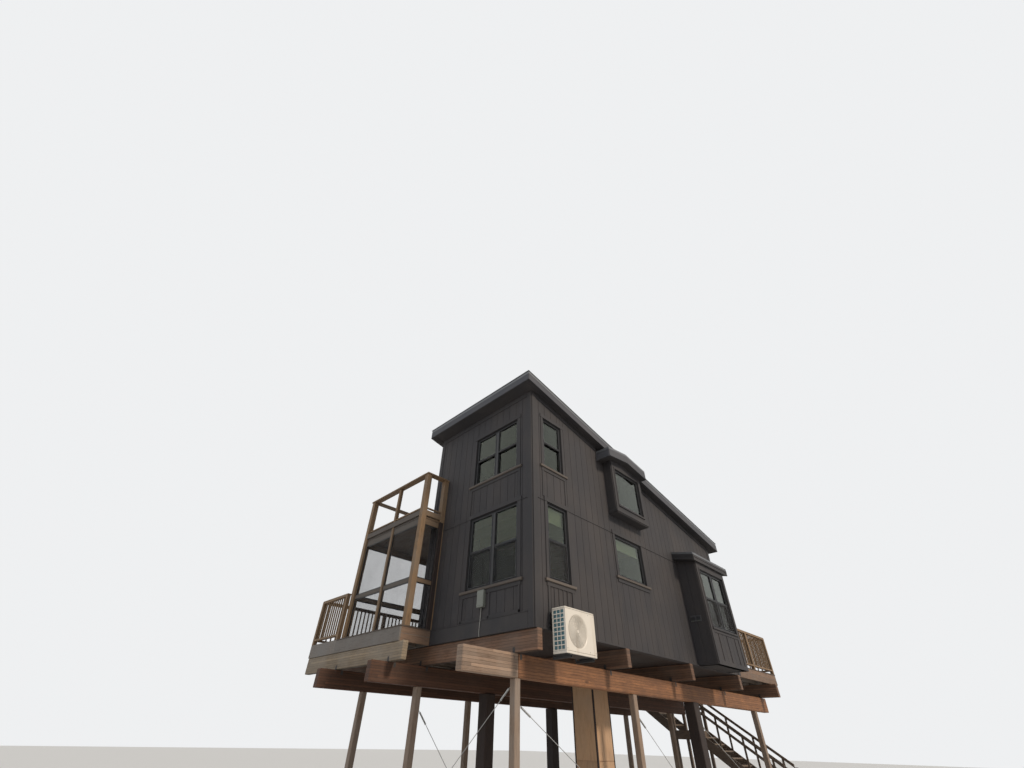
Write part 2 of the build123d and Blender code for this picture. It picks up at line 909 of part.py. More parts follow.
with BuildPart() as stair_rails:
    square_posts(landing_points, rail_post, landing_top, landing_top + rail_height)
    square_posts([(x, foot_y - edge) for x in (stair_x0 + edge, stair_x1 - edge)],
                 rail_post, 0, rail_height)
    for x in (stair_x0 + edge, stair_x1 - edge):
        for lift in (handrail_height, handrail_height - second_rail_drop):
            sloped_rail(x, walk_inner, landing_y1, deck_top, upper_line_low, lift)
            sloped_rail(x, landing_y0, foot_y, landing_top, lower_rise, lift)
            block(x - rail / 2, x + rail / 2, landing_y0 + rail_post, landing_y1 - rail_post,
                  landing_top + lift - rail_depth, landing_top + lift)

# Outdoor unit on its bracket, boxes on the walls
unit_z = wall_base + unit_bottom
unit_front = -unit_gap - unit_depth
fan_x = unit_x + fan_from_side
fan_z = unit_z + unit_height / 2
with BuildPart() as outdoor_unit:
    block(unit_x, unit_x + unit_width, unit_front, -unit_gap, unit_z, unit_z + unit_height)
    fillet(outdoor_unit.edges().filter_by(Axis.Z), unit_round)
    with BuildSketch(side(unit_front)) as fan_opening:
        with Locations((fan_x, fan_z)):
            Circle(fan_radius)
    extrude(fan_opening.sketch, amount=-fan_depth, mode=Mode.SUBTRACT)
    with BuildSketch(side(unit_front + fan_depth)) as hub:
        with Locations((fan_x, fan_z)):
            Circle(fan_hub)
    extrude(hub.sketch, amount=fan_hub_depth)
    block(unit_x, unit_x + coil_depth, unit_front + coil_post, -unit_gap - coil_post,
          unit_z + coil_margin, unit_z + unit_height - coil_margin, Mode.SUBTRACT)

with BuildPart() as unit_bracket:
    for x in (unit_x + bracket_inset, unit_x + unit_width - bracket_inset):
        block(x - bracket_width / 2, x + bracket_width / 2, unit_front, -bracket_thick,
              unit_z - bracket_width, unit_z)
        block(x - bracket_width / 2, x + bracket_width / 2, -bracket_thick, 0,
              unit_z - bracket_width, wall_base + bracket_top)

with BuildPart() as wall_boxes:
    block(-meter_depth, 0, meter_y, meter_y + meter_width,
          wall_base + meter_bottom, wall_base + meter_bottom + meter_height)
    for reach in (vent_far, vent_near):
        block(tall_start - vent_depth, tall_start, -reach - vent / 2, -reach + vent / 2,
              wall_base + vent_z, wall_base + vent_z + vent)

pieces = {
    "front_wall": front_wall,
    "right_wall": right_wall,
    "left_wall": left_wall,
    "rear_wall": rear_wall,
    "house_floor": house_floor,
    "loft_floor": loft_floor,
    "roof_panel": roof_panel,
    "roof_fascia": roof_fascia,
    "roof_sheet": roof_sheet,
    "box_bay": box_bay,
    "box_bay_roof": box_bay_roof,
    "tall_bay": tall_bay,
    "tall_bay_roof": tall_bay_roof,
    "front_windows": front_windows,
    "front_glass": front_glass,
    "right_windows": right_windows,
    "right_glass": right_glass,
    "left_windows": left_windows,
    "left_glass": left_glass,
    "doors": doors,
    "near_beam": near_beam,
    "middle_beam": middle_beam,
    "far_beam": far_beam,
    "cross_beams": cross_beams,
    "near_posts": near_posts,
    "middle_posts": middle_posts,
    "far_posts": far_posts,
    "service_chase": service_chase,
    "bracing_cables": bracing_cables,
    "porch_deck": porch_deck,
    "back_deck": back_deck,
    "end_deck": end_deck,
    "walkway": walkway,
    "porch_posts": porch_posts,
    "upper_deck": upper_deck,
    "porch_header": porch_header,
    "porch_rails": porch_rails,
    "porch_screens": porch_screens,
    "upper_deck_rails": upper_deck_rails,
    "deck_railing": deck_railing,
    "stair_treads": stair_treads,
    "stair_stringers": stair_stringers,
    "stair_landing": stair_landing,
    "stair_rails": stair_rails,
    "outdoor_unit": outdoor_unit,
    "unit_bracket": unit_bracket,
    "wall_boxes": wall_boxes,
}

os.makedirs("parts", exist_ok=True)
for name, piece in pieces.items():
    piece.part.label = name
    export_step(piece.part, f"parts/{name}.step")
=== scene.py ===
"""Tree house: materials, boards, trim, windows, roofing, timbers and fittings, light and camera.

Metres. On a face u runs along it, v up and w outward. at() takes a place from the house's
near corner at the walls' foot, and the boxes of nodes are in the frame's own coordinates.
"""

import math

import bpy
from mathutils import Matrix, Vector


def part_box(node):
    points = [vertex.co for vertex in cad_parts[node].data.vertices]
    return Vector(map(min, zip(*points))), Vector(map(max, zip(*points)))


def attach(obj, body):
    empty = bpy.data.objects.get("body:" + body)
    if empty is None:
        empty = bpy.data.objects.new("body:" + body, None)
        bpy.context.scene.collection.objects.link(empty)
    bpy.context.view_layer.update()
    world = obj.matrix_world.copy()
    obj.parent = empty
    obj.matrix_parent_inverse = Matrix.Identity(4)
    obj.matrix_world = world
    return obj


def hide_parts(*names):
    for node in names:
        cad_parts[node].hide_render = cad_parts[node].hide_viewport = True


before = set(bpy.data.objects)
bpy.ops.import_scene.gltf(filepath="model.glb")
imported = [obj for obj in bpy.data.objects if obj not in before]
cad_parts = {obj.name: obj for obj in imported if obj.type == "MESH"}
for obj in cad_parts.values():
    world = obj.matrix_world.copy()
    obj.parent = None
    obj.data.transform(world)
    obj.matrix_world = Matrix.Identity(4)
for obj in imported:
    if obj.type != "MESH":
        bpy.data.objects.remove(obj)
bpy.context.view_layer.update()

BODY = "root"
X, Y, Z = range(3)

# The house, measured from the frame
wall_low, wall_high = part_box("right_wall")
CORNER = Vector(wall_low)
LENGTH = wall_high[0] - CORNER.x
HIGH_WALL = wall_high[2] - CORNER.z
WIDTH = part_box("left_wall")[1][1] - CORNER.y
SLOPE = 0.211
FLOOR = 0.3
BELT = 2.55
UPPER_FLOOR = 2.94


def soffit(x):
    """Height of the soffit over the walls' foot at x."""
    return HIGH_WALL - SLOPE * x


def at(x, y, z):
    """Point given from the house's near corner at the walls' foot."""
    return CORNER + Vector((x, y, z))


def corners(box):
    """Low and high corners of a box as vectors."""
    return [Vector(v) for v in box]


def blocks_of(node):
    """Boxes of the separate solids in a node."""
    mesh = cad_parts[node].data
    parent = list(range(len(mesh.vertices)))

    def root(i):
        while parent[i] != i:
            parent[i] = parent[parent[i]]
            i = parent[i]
        return i

    seen = {}
    for vertex in mesh.vertices:
        key = tuple(round(c, 5) for c in vertex.co)
        parent[root(vertex.index)] = root(seen.setdefault(key, vertex.index))
    for edge in mesh.edges:
        a, b = edge.vertices
        parent[root(a)] = root(b)
    groups = {}
    for vertex in mesh.vertices:
        groups.setdefault(root(vertex.index), []).append(vertex.co)
    boxes = [tuple(Vector([pick(p[n] for p in group) for n in range(3)]) for pick in (min, max))
             for group in groups.values()]
    return sorted(boxes, key=lambda box: tuple(box[0]))


# Materials
def along(axis, long):
    """Scale of a pattern that is stretched along one axis."""
    return tuple(long if i == axis else 1.0 for i in range(3))


def scaled(colour, factor):
    return tuple(v * factor for v in colour)


def add_node(tree, kind, *links, **values):
    """New node; links go to its first inputs, and a value to the input or property of its name."""
    made = tree.nodes.new(kind)
    for key, value in values.items():
        if key in made.inputs:
            made.inputs[key].default_value = value
        else:
            setattr(made, key, value)
    for output, socket in zip(links, made.inputs):
        tree.links.new(output, socket)
    return made


class Shader:
    """A principled material with short calls for its nodes."""

    def __init__(self, name, colour, roughness, metallic=0.0):
        self.mat = bpy.data.materials.new(name)
        self.mat.use_nodes = True
        self.tree = self.mat.node_tree
        self.bsdf = self.tree.nodes["Principled BSDF"]
        self.set("Base Color", (*colour, 1))
        self.set("Roughness", roughness)
        self.set("Metallic", metallic)

    def set(self, socket, value):
        self.bsdf.inputs[socket].default_value = value

    def to(self, output, socket):
        self.tree.links.new(output, self.bsdf.inputs[socket])

    def node(self, kind, *links, **values):
        return add_node(self.tree, kind, *links, **values)

    def spot(self):
        """Coordinates on the object."""
        return self.node("ShaderNodeTexCoord").outputs["Object"]

    def own(self):
        """A random number of each board."""
        return self.node("ShaderNodeNewGeometry").outputs["Random Per Island"]

    def place(self, scale=(1, 1, 1), shift=False):
        """Stretched coordinates; with shift, each board has its own piece of the pattern."""
        where = self.spot()
        if shift:
            far = self.math("MULTIPLY", self.own(), 37.0)
            where = self.node("ShaderNodeVectorMath", where, far, operation="ADD").outputs[0]
        return self.node("ShaderNodeMapping", where, Scale=scale).outputs["Vector"]

    def noise(self, where, scale, detail=4.0, roughness=0.55, distortion=0.0):
        return self.node("ShaderNodeTexNoise", where, Scale=scale, Detail=detail, Roughness=roughness,
                         Distortion=distortion).outputs["Fac"]

    def cells(self, where, scale):
        return self.node("ShaderNodeTexVoronoi", where, feature="F1", Scale=scale).outputs

    def math(self, operation, a, b=None):
        made = self.node("ShaderNodeMath", a, operation=operation)
        if isinstance(b, float):
            made.inputs[1].default_value = b
        elif b is not None:
            self.tree.links.new(b, made.inputs[1])
        return made.outputs[0]

    def ramp(self, fac, *stops):
        made = self.node("ShaderNodeValToRGB", fac)
        elements = made.color_ramp.elements
        while len(elements) < len(stops):
            elements.new(0.5)
        for element, (position, colour) in zip(elements, stops):
            element.position = position
            element.color = (*(colour if isinstance(colour, tuple) else (colour,) * 3), 1)
        return made.outputs["Color"]

    def mix(self, fac, a, b, blend="MIX"):
        made = self.node("ShaderNodeMix", data_type="RGBA", blend_type=blend)
        for socket, value in ((0, fac), (6, a), (7, b)):
            if isinstance(value, float):
                made.inputs[socket].default_value = value
            elif isinstance(value, tuple):
                made.inputs[socket].default_value = (*value, 1)
            else:
                self.tree.links.new(value, made.inputs[socket])
        return made.outputs[2]

    def shade(self, colour, share, fac, *stops):
        """Colour darkened by a ramp."""
        return self.mix(share, colour, self.ramp(fac, *stops), "MULTIPLY")

    def spread(self, colour, share, other, fac, *stops):
        """Another colour where a ramp is white."""
        return self.mix(self.math("MULTIPLY", self.ramp(fac, *stops), share), colour, other)

    def finish(self, colour, fac, *rough_stops):
        """Material with its colour and a ramp of roughness."""
        self.to(colour, "Base Color")
        self.to(self.ramp(fac, *rough_stops), "Roughness")
        return self.mat

    def bump(self, height, strength, distance):
        made = self.node("ShaderNodeBump", Strength=strength, Distance=distance)
        self.tree.links.new(height, made.inputs["Height"])
        self.to(made.outputs["Normal"], "Normal")


def glued_layers(s, colour, dark, axis, contrast):
    """Layers of a glued beam: each board has its own shade, with dark glue lines between them."""
    axes = s.node("ShaderNodeSeparateXYZ", s.spot()).outputs
    height = s.math("DIVIDE", axes["Z"], 0.05)
    number = s.math("FLOOR", height)
    run = s.math("MULTIPLY", axes["XYZ"[axis]], 0.31)
    board = s.math("FLOOR", s.math("ADD", run, s.math("MULTIPLY", number, 0.37)))
    both = s.node("ShaderNodeCombineXYZ", number, board).outputs[0]
    tone = s.node("ShaderNodeTexWhiteNoise", noise_dimensions="2D")
    s.tree.links.new(both, tone.inputs["Vector"])
    colour = s.shade(colour, contrast, tone.outputs["Value"], (0.0, 0.45), (1.0, 1.1))
    glue = s.math("LESS_THAN", s.math("FRACT", height), 0.12)
    return s.mix(glue, colour, scaled(dark, 0.35))


def wood(name, light, dark, worn_and_shade_colour, axis, wear_and_shade_share=0.5, glued=False, contrast=0.75, patch=1.7):
    """Timber with grain along an axis, knots, weathered patches and, where it is glued, its layers; on the
    long glued beam the patches are dark, painted dappled shade.
    """
    s = Shader(name, light, 0.72)
    grain_at = s.place(along(axis, 0.07), shift=True)
    grain = s.noise(grain_at, 38.0, 6.0, 0.65, 0.6)
    fine = s.noise(grain_at, 160.0, 3.0, 0.7)
    patches = s.noise(s.place(shift=True), patch)
    knots = s.cells(s.place(along(axis, 0.35), shift=True), 2.4)["Distance"]
    colour = s.ramp(grain, (0.32, dark), (0.52, light), (0.72, dark))
    colour = s.shade(colour, 0.55, s.own(), (0.0, 0.55), (1.0, 1.0))
    if glued:
        colour = glued_layers(s, colour, dark, axis, contrast)
    # Weathered patches; on the long glued beam they are painted dappled shade
    colour = s.spread(colour, wear_and_shade_share, worn_and_shade_colour, patches, (0.45 - wear_and_shade_share * 0.15, 0.0), (0.75, 1.0))
    colour = s.spread(colour, 0.75, scaled(dark, 0.4), knots, (0.035, 1.0), (0.085, 0.0))
    s.bump(s.math("ADD", grain, s.math("MULTIPLY", fine, 0.5)), 0.35, 0.004)
    return s.finish(colour, fine, (0.2, 0.58), (0.8, 0.86))


def siding(name, base, brown, axis=Z):
    """Charcoal stain over rough boards: grain, faded patches and dust."""
    s = Shader(name, base, 0.78)
    grain = s.noise(s.place(along(axis, 0.05), shift=True), 55.0, 6.0, 0.7, 0.4)
    patches = s.noise(s.place((1, 1, 0.55)), 1.3, 5.0, 0.6)
    specks = s.noise(s.place(), 120.0, 2.0)
    colour = s.ramp(grain, (0.3, scaled(base, 0.62)), (0.62, base), (0.85, brown))
    colour = s.shade(colour, 0.5, s.own(), (0.0, 0.66), (1.0, 1.0))
    colour = s.spread(colour, 0.42, brown, patches, (0.42, 0.0), (0.72, 1.0))
    colour = s.spread(colour, 0.16, scaled(brown, 2.2), specks, (0.62, 0.0), (0.8, 1.0))
    s.bump(s.math("ADD", grain, s.math("MULTIPLY", specks, 0.3)), 0.4, 0.004)
    return s.finish(colour, grain, (0.2, 0.62), (0.9, 0.9))


def painted(name, base, roughness, grime, metallic=0.0, grime_share=0.35, bump=0.1):
    """Paint or enamel with soft mottling, streaks of grime and a fine texture."""
    s = Shader(name, base, roughness, metallic)
    streaks = s.noise(s.place((1, 1, 0.18)), 6.0, 6.0, 0.65)
    specks = s.noise(s.place(), 90.0, 3.0)
    colour = s.spread(base, grime_share, grime, streaks, (0.5, 0.0), (0.82, 1.0))
    colour = s.shade(colour, 0.12, specks, (0.3, 0.6), (0.7, 1.0))
    s.bump(specks, bump, 0.002)
    return s.finish(colour, specks, (0.25, roughness - 0.08), (0.8, roughness + 0.14))


def metal(name, base, roughness, spots):
    """Galvanised or bare steel with crystals and dull spots."""
    s = Shader(name, base, roughness, 0.85)
    crystals = s.cells(s.place(), 90.0)
    dull = s.noise(s.place(), 14.0, 6.0)
    colour = s.shade(base, 0.35, crystals["Color"], (0.2, 0.6), (0.8, 1.0))
    colour = s.spread(colour, 0.4, spots, dull, (0.6, 0.0), (0.74, 1.0))
    return s.finish(colour, crystals["Distance"], (0.0, roughness), (0.8, roughness + 0.2))


def glass(name, tint):
    """Window glass, faintly uneven and smeared."""
    s = Shader(name, tint, 0.02)
    s.set("Transmission Weight", 1.0)
    s.set("IOR", 1.5)
    s.set("Specular IOR Level", 0.35)
    s.set("Specular Tint", (0.8, 0.84, 0.68, 1))
    s.bump(s.noise(s.place(), 1.6, 1.0), 0.03, 0.02)
    smear = s.noise(s.place((1, 1, 0.4)), 5.0)
    s.to(s.ramp(smear, (0.4, 0.01), (0.85, 0.09)), "Roughness")
    return s.mat


def screen_cloth(name, thread, cover):
    """Woven insect screen; cover is the share that the threads take of each of its two faces."""
    s = Shader(name, thread, 0.85)
    s.mat.blend_method = "BLEND"
    patches = s.noise(s.place(), 2.2, 3.0)
    s.to(s.ramp(patches, (0.3, cover * 0.9), (0.7, cover * 1.1)), "Alpha")
    weave = s.noise(s.place(), 400.0, 2.0)
    s.to(s.ramp(weave, (0.3, scaled(thread, 0.6)), (0.7, thread)), "Base Color")
    return s.mat


# Stained boards: base and faded brown
STAIN = (0.031, 0.029, 0.032), (0.062, 0.052, 0.047)
CHARCOAL = siding("charcoal_siding", (0.035, 0.032, 0.035), (0.066, 0.053, 0.046))
TRIM = siding("charcoal_trim", *STAIN)
TRIM_LONG = siding("charcoal_trim_long", *STAIN, X)
TRIM_CROSS = siding("charcoal_trim_cross", *STAIN, Y)
SLATE = siding("slate_eave", (0.07, 0.072, 0.084), (0.1, 0.096, 0.098), X)
SILL = siding("worn_sill", (0.098, 0.08, 0.067), (0.16, 0.127, 0.102), X)

# Timbers: light grain, dark grain and weathered colour, which on the long glued beam is a dark brown of
# painted dappled shade
TAN = (0.27, 0.172, 0.095), (0.14, 0.082, 0.044), (0.2, 0.165, 0.132)
# Its worn colour is dark brown, spread in large patches at a high share: painted dappled shade, not
# weathering
GLULAM_X = wood("glued_beam_long", (0.36, 0.165, 0.07), (0.15, 0.062, 0.027), (0.13, 0.06, 0.031), X,
                0.7, True, contrast=0.5, patch=3.0)
GLULAM_PALE = wood("glued_beam_pale", (0.43, 0.29, 0.2), (0.25, 0.16, 0.105), (0.36, 0.3, 0.245), X,
                   0.5, True)
# A darker copy of the glued beam for the middle and far beams: painted shade under the house
GLULAM_DARK = wood("glued_beam_dark", (0.14, 0.058, 0.028), (0.06, 0.025, 0.012),
                   (0.1, 0.056, 0.036), X, 0.35, True)
GLULAM_Y = wood("glued_beam_cross", (0.225, 0.12, 0.07), (0.1, 0.051, 0.03), (0.17, 0.125, 0.098), Y,
                0.5, True)
PORCH_BEAM = wood("porch_beam", (0.35, 0.265, 0.17), (0.2, 0.14, 0.088), (0.28, 0.245, 0.2), Y,
                  0.5, True)
POST = wood("weathered_post", (0.31, 0.215, 0.15), (0.155, 0.1, 0.068), (0.28, 0.24, 0.205), Z, 0.65)
# Dark timber, darkened further as painted deep shade for the stout posts and the lining under the house; it
# also makes the dark joints at the chase's corners
POST_DARK = wood("dark_post", (0.036, 0.021, 0.016), (0.015, 0.009, 0.008), (0.045, 0.032, 0.027), Z,
                 0.35)
TAN_Z = wood("tan_upright", (0.275, 0.172, 0.09), (0.142, 0.082, 0.041), (0.19, 0.158, 0.124), Z)
TAN_X = wood("tan_rail_long", *TAN, X, 0.55)
TAN_Y = wood("tan_rail_cross", *TAN, Y, 0.55)
GREY_X = wood("weathered_board_long", (0.2, 0.155, 0.12), (0.1, 0.075, 0.058), (0.17, 0.155, 0.14), X,
              0.75)
GREY_Y = wood("weathered_board_cross", (0.2, 0.17, 0.145), (0.115, 0.096, 0.08),
              (0.175, 0.165, 0.153), Y, 0.85)
BAND_Y = wood("dark_board_cross", (0.115, 0.093, 0.076), (0.058, 0.046, 0.037), (0.1, 0.09, 0.08), Y,
              0.6)
STREAK_X = wood("brown_fascia", (0.235, 0.145, 0.093), (0.1, 0.06, 0.04), (0.17, 0.13, 0.102), X, 0.4)
DECK_Y = wood("deck_board_cross", (0.24, 0.175, 0.122), (0.12, 0.083, 0.058), (0.19, 0.17, 0.152), Y,
              0.7)
# The nosing, the deck boards' overhanging edge, is much darker than the boards: painted shade along the
# deck's edge
NOSING = wood("dark_nosing", (0.09, 0.064, 0.048), (0.045, 0.032, 0.025), (0.1, 0.085, 0.073), Y)
STAIR = wood("stair_timber", (0.16, 0.112, 0.078), (0.075, 0.05, 0.036), (0.14, 0.12, 0.103), Y, 0.55)
STAIR_X = wood("stair_tread", (0.21, 0.15, 0.105), (0.1, 0.068, 0.048), (0.17, 0.15, 0.13), X, 0.55)
PLY = wood("plywood_sheet", (0.6, 0.375, 0.215), (0.4, 0.235, 0.13), (0.43, 0.315, 0.225), Z)
INSIDE = wood("interior_board", (0.42, 0.3, 0.19), (0.27, 0.18, 0.11), (0.36, 0.27, 0.2), X, 0.3)

# Paint, steel, glass and screens
ROOFING = painted("roof_metal", (0.075, 0.08, 0.085), 0.42, (0.12, 0.11, 0.095), 0.3)
FLASHING = painted("grey_flashing", (0.16, 0.165, 0.175), 0.45, (0.1, 0.09, 0.08), 0.4)
BLACK = painted("window_frame", (0.014, 0.014, 0.016), 0.38, (0.042, 0.038, 0.034), grime_share=0.25)
ENAMEL = painted("unit_enamel", (0.72, 0.665, 0.58), 0.4, (0.47, 0.38, 0.28), grime_share=0.6)
UNIT_DARK = painted("unit_dark", (0.03, 0.031, 0.033), 0.5, (0.08, 0.075, 0.065))
FINS = painted("coil_fins", (0.2, 0.38, 0.44), 0.4, (0.1, 0.16, 0.18), 0.2)
BLIND = painted("blind_cloth", (0.68, 0.68, 0.58), 0.85, (0.5, 0.47, 0.4), grime_share=0.2, bump=0.3)
BOX_GREY = painted("meter_grey", (0.185, 0.195, 0.17), 0.45, (0.12, 0.11, 0.095))
VENT = painted("vent_grey", (0.062, 0.061, 0.066), 0.5, (0.1, 0.09, 0.08))
CABLE_SKIN = painted("cable_skin", (0.3, 0.29, 0.27), 0.5, (0.15, 0.13, 0.1))
STEEL = metal("galvanised_steel", (0.46, 0.46, 0.455), 0.42, (0.24, 0.17, 0.11))
BOLT = metal("bolt_steel", (0.09, 0.083, 0.08), 0.55, (0.12, 0.07, 0.04))
GLASS = glass("window_glass", (0.4, 0.455, 0.37))
SCREEN = screen_cloth("insect_screen", (0.035, 0.036, 0.04), 0.18)
WINDOW_SCREEN = screen_cloth("window_screen", (0.03, 0.03, 0.032), 0.3)


# Mesh code
def chamfered_faces():
    """Corners of a box and the faces of its chamfered form, with a vertex for each corner and axis."""
    corner_list = [(i, j, k) for i in (0, 1) for j in (0, 1) for k in (0, 1)]
    number = {(corner, axis): 3 * n + axis for n, corner in enumerate(corner_list) for axis in range(3)}
    faces = []

    def place(axis, end, others):
        spot = list(others)
        spot.insert(axis, end)
        return tuple(spot)

    for axis in range(3):
        b, c = [n for n in range(3) if n != axis]
        for end in (0, 1):
            ring = ((0, 0), (1, 0), (1, 1), (0, 1))
            faces.append([number[place(axis, end, others), axis] for others in ring])
        for others in ((0, 0), (0, 1), (1, 0), (1, 1)):
            low, high = place(axis, 0, others), place(axis, 1, others)
            faces.append([number[low, b], number[high, b], number[high, c], number[low, c]])
    faces += [[number[corner, axis] for axis in range(3)] for corner in corner_list]
    spots = [Vector([(1.0 if n == axis else 0.8) * (2 * corner[n] - 1) for n in range(3)])
             for corner in corner_list for axis in range(3)]
    turned = []
    for face in faces:
        a, b, c = (spots[n] for n in face[:3])
        middle = sum((spots[n] for n in face), Vector()) / len(face)
        turned.append(face if (b - a).cross(c - a).dot(middle) > 0 else face[::-1])
    return corner_list, turned


CORNERS, CHAMFERED = chamfered_faces()


def steps(start, end, count):
    """Places that cut a run into equal parts, with both ends."""
    return [start + (end - start) * i / count for i in range(count + 1)]


def parts(start, end, count, gap):
    """Equal parts of a run, each shortened by a gap at both ends."""
    places = steps(start, end, count)
    return [(a + gap, b - gap) for a, b in zip(places, places[1:])]


def circle(count, first=0.0):
    """Cosines and sines round a circle."""
    angles = [2 * math.pi * (i + first) / count for i in range(count)]
    return [(math.cos(t), math.sin(t)) for t in angles]


def bands_of(rings, count):
    """Faces between closed rings of vertices that are numbered ring by ring."""
    faces = []
    for ring in range(rings - 1):
        for i in range(count):
            a, b = ring * count + i, ring * count + (i + 1) % count
            faces.append([a, b, b + count, a + count])
    faces.append(list(range(count))[::-1])
    faces.append([(rings - 1) * count + i for i in range(count)])
    return faces


class Shape:
    """Collects the parts of one piece and makes its mesh."""

    def __init__(self):
        self.points = []
        self.faces = []
        self.slots = []

    def add(self, points, faces, slot=0):
        first = len(self.points)
        self.points += [tuple(p) for p in points]
        self.faces += [[first + n for n in face] for face in faces]
        self.slots += [slot] * len(faces)

    def block(self, one, other, edge=0.004, slot=0, turn=None):
        """Chamfered box between two opposite corners, turned by a matrix if one is given."""
        low, high = (Vector([pick(pair) for pair in zip(one, other)]) for pick in (min, max))
        edge = min(edge, *(v * 0.45 for v in high - low))
        points = []
        for corner in CORNERS:
            for axis in range(3):
                inset = [0.0 if n == axis else edge for n in range(3)]
                p = Vector([high[n] - inset[n] if corner[n] else low[n] + inset[n] for n in range(3)])
                points.append(p if turn is None else turn @ p)
        self.add(points, CHAMFERED, slot)

    def bar(self, start, finish, width, height, edge=0.003, slot=0, up=(0, 0, 1)):
        """Chamfered bar between two points."""
        start, finish = Vector(start), Vector(finish)
        run = finish - start
        x = run.normalized()
        y = Vector(up).cross(x).normalized()
        turn = Matrix((x, y, x.cross(y))).transposed().to_4x4()
        turn.translation = start
        self.block((0, -width / 2, -height / 2), (run.length, width / 2, height / 2), edge, slot, turn)

    def rod(self, start, finish, radius, sides=12):
        """Round bar with chamfered ends."""
        start, finish = Vector(start), Vector(finish)
        run = finish - start
        x = run.normalized()
        y = x.orthogonal().normalized()
        z = x.cross(y)
        cut = min(0.25 * radius, 0.2 * run.length)
        rings = ((0, radius - cut), (cut, radius), (run.length - cut, radius), (run.length, radius - cut))
        points = [start + x * distance + (y * c + z * s) * r
                  for distance, r in rings for c, s in circle(sides)]
        self.add(points, bands_of(len(rings), sides))

    def hoop(self, centre, normal, radius, thick, sides, around):
        """Ring of round wire."""
        centre, normal = Vector(centre), Vector(normal)
        y = normal.orthogonal().normalized()
        z = normal.cross(y)
        points, faces = [], []
        for c, s in circle(sides):
            out = y * c + z * s
            points += [centre + out * (radius + thick * p) + normal * thick * q for p, q in circle(around)]
        for i in range(sides):
            here, beyond = i * around, (i + 1) % sides * around
            for j in range(around):
                k = (j + 1) % around
                faces.append([here + j, beyond + j, beyond + k, here + k])
        self.add(points, faces)

    def plate(self, outline, origin, u, v, low, high, edge=0.003, slot=0):
        """Plate with a convex outline in a plane; its outer edges are chamfered."""
        n = u.cross(v)
        area = sum(a[0] * b[1] - b[0] * a[1] for a, b in zip(outline, outline[1:] + outline[:1]))
        if area < 0:
            outline = outline[::-1]
        count = len(outline)
        inner = []
        for i in range(count):
            before, here, after = (Vector(outline[k % count]) for k in (i - 1, i, i + 1))
            one, two = (here - before).normalized(), (after - here).normalized()
            left_one, left_two = Vector((-one.y, one.x)), Vector((-two.y, two.x))
            half = (left_one + left_two).normalized()
            inner.append(here + half * (edge / max(0.3, half.dot(left_one))))
        rings = ((outline, low), (outline, high - edge), (inner, high))
        points = [origin + u * p[0] + v * p[1] + n * w for ring, w in rings for p in ring]
        self.add(points, bands_of(len(rings), count), slot)

    def make(self, name, materials, slot=None, replaces=()):
        mesh = bpy.data.meshes.new(name)
        mesh.from_pydata(self.points, [], self.faces)
        for material in materials if isinstance(materials, list) else [materials]:
            mesh.materials.append(material)
        mesh.polygons.foreach_set("material_index", self.slots)
        mesh.update()
        piece = bpy.data.objects.new(name, mesh)
        bpy.context.scene.collection.objects.link(piece)
        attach(piece, BODY)
        if replaces:
            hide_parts(*replaces)


class Face:
    """A wall's outer face: u along it, v up and w outward; its line is the height of its top along u."""

    def __init__(self, origin, u, line=None, length=0.0):
        self.origin, self.u, self.v = Vector(origin), Vector(u), Vector((0, 0, 1))
        self.n = self.u.cross(self.v)
        self.line, self.length = line, length

    def spot(self, u, v, w):
        return self.origin + self.u * u + self.v * v + self.n * w

    def plate(self, shape, outline, low, high, edge=0.003, slot=0):
        shape.plate(outline, self.origin, self.u, self.v, low, high, edge, slot)

    def rect(self, shape, u0, u1, v0, v1, low, high, edge=0.003, slot=0):
        self.plate(shape, [(u0, v0), (u1, v0), (u1, v1), (u0, v1)], low, high, edge, slot)

    def rects(self, shape, boxes, low, high, edge=0.003, slot=0):
        for box in boxes:
            self.rect(shape, *box, low, high, edge, slot)

    def strip(self, shape, ends, d0, d1, low, high, edge=0.003):
        """Plate between two depths over the face's line."""
        (u0, v0), (u1, v1) = ((u, self.line(u)) for u in ends)
        self.plate(shape, [(u0, v0 + d0), (u1, v1 + d0), (u1, v1 + d1), (u0, v0 + d1)], low, high, edge)

    def under(self, shape, u0, u1, foot, drop, high):
        """Plate from a level foot to just under the face's line."""
        outline = [(u0, foot), (u1, foot), (u1, self.line(u1) - drop), (u0, self.line(u0) - drop)]
        self.plate(shape, outline, 0, high)


def border(u0, u1, v0, v1, bar):
    """Four sides of a rectangular frame."""
    return ((u0, u0 + bar, v0, v1), (u1 - bar, u1, v0, v1),
            (u0 + bar, u1 - bar, v1 - bar, v1), (u0 + bar, u1 - bar, v0, v0 + bar))


def wider(hole, margin):
    """A hole's two sides with a margin."""
    return hole[0] - margin, hole[1] + margin


RIGHT = Face(at(0, 0, 0), (1, 0, 0), soffit, LENGTH)
FRONT = Face(at(0, WIDTH, 0), (0, -1, 0), lambda u: soffit(0), WIDTH)
LEFT = Face(at(LENGTH, WIDTH, 0), (-1, 0, 0), lambda u: soffit(LENGTH - u), LENGTH)
REAR = Face(at(LENGTH, 0, 0), (0, 1, 0), lambda u: soffit(LENGTH), WIDTH)

# Places of the porch, from the house's corner
DECK_X0 = -0.82
UPPER_X0 = -0.72
PORCH_X1 = 3.0
PORCH_Y0 = 3.13
PORCH_Y1 = 5.95
WALK_Y1 = 7.35
PORCH_POST = 0.14
BAND_FOOT = 2.75

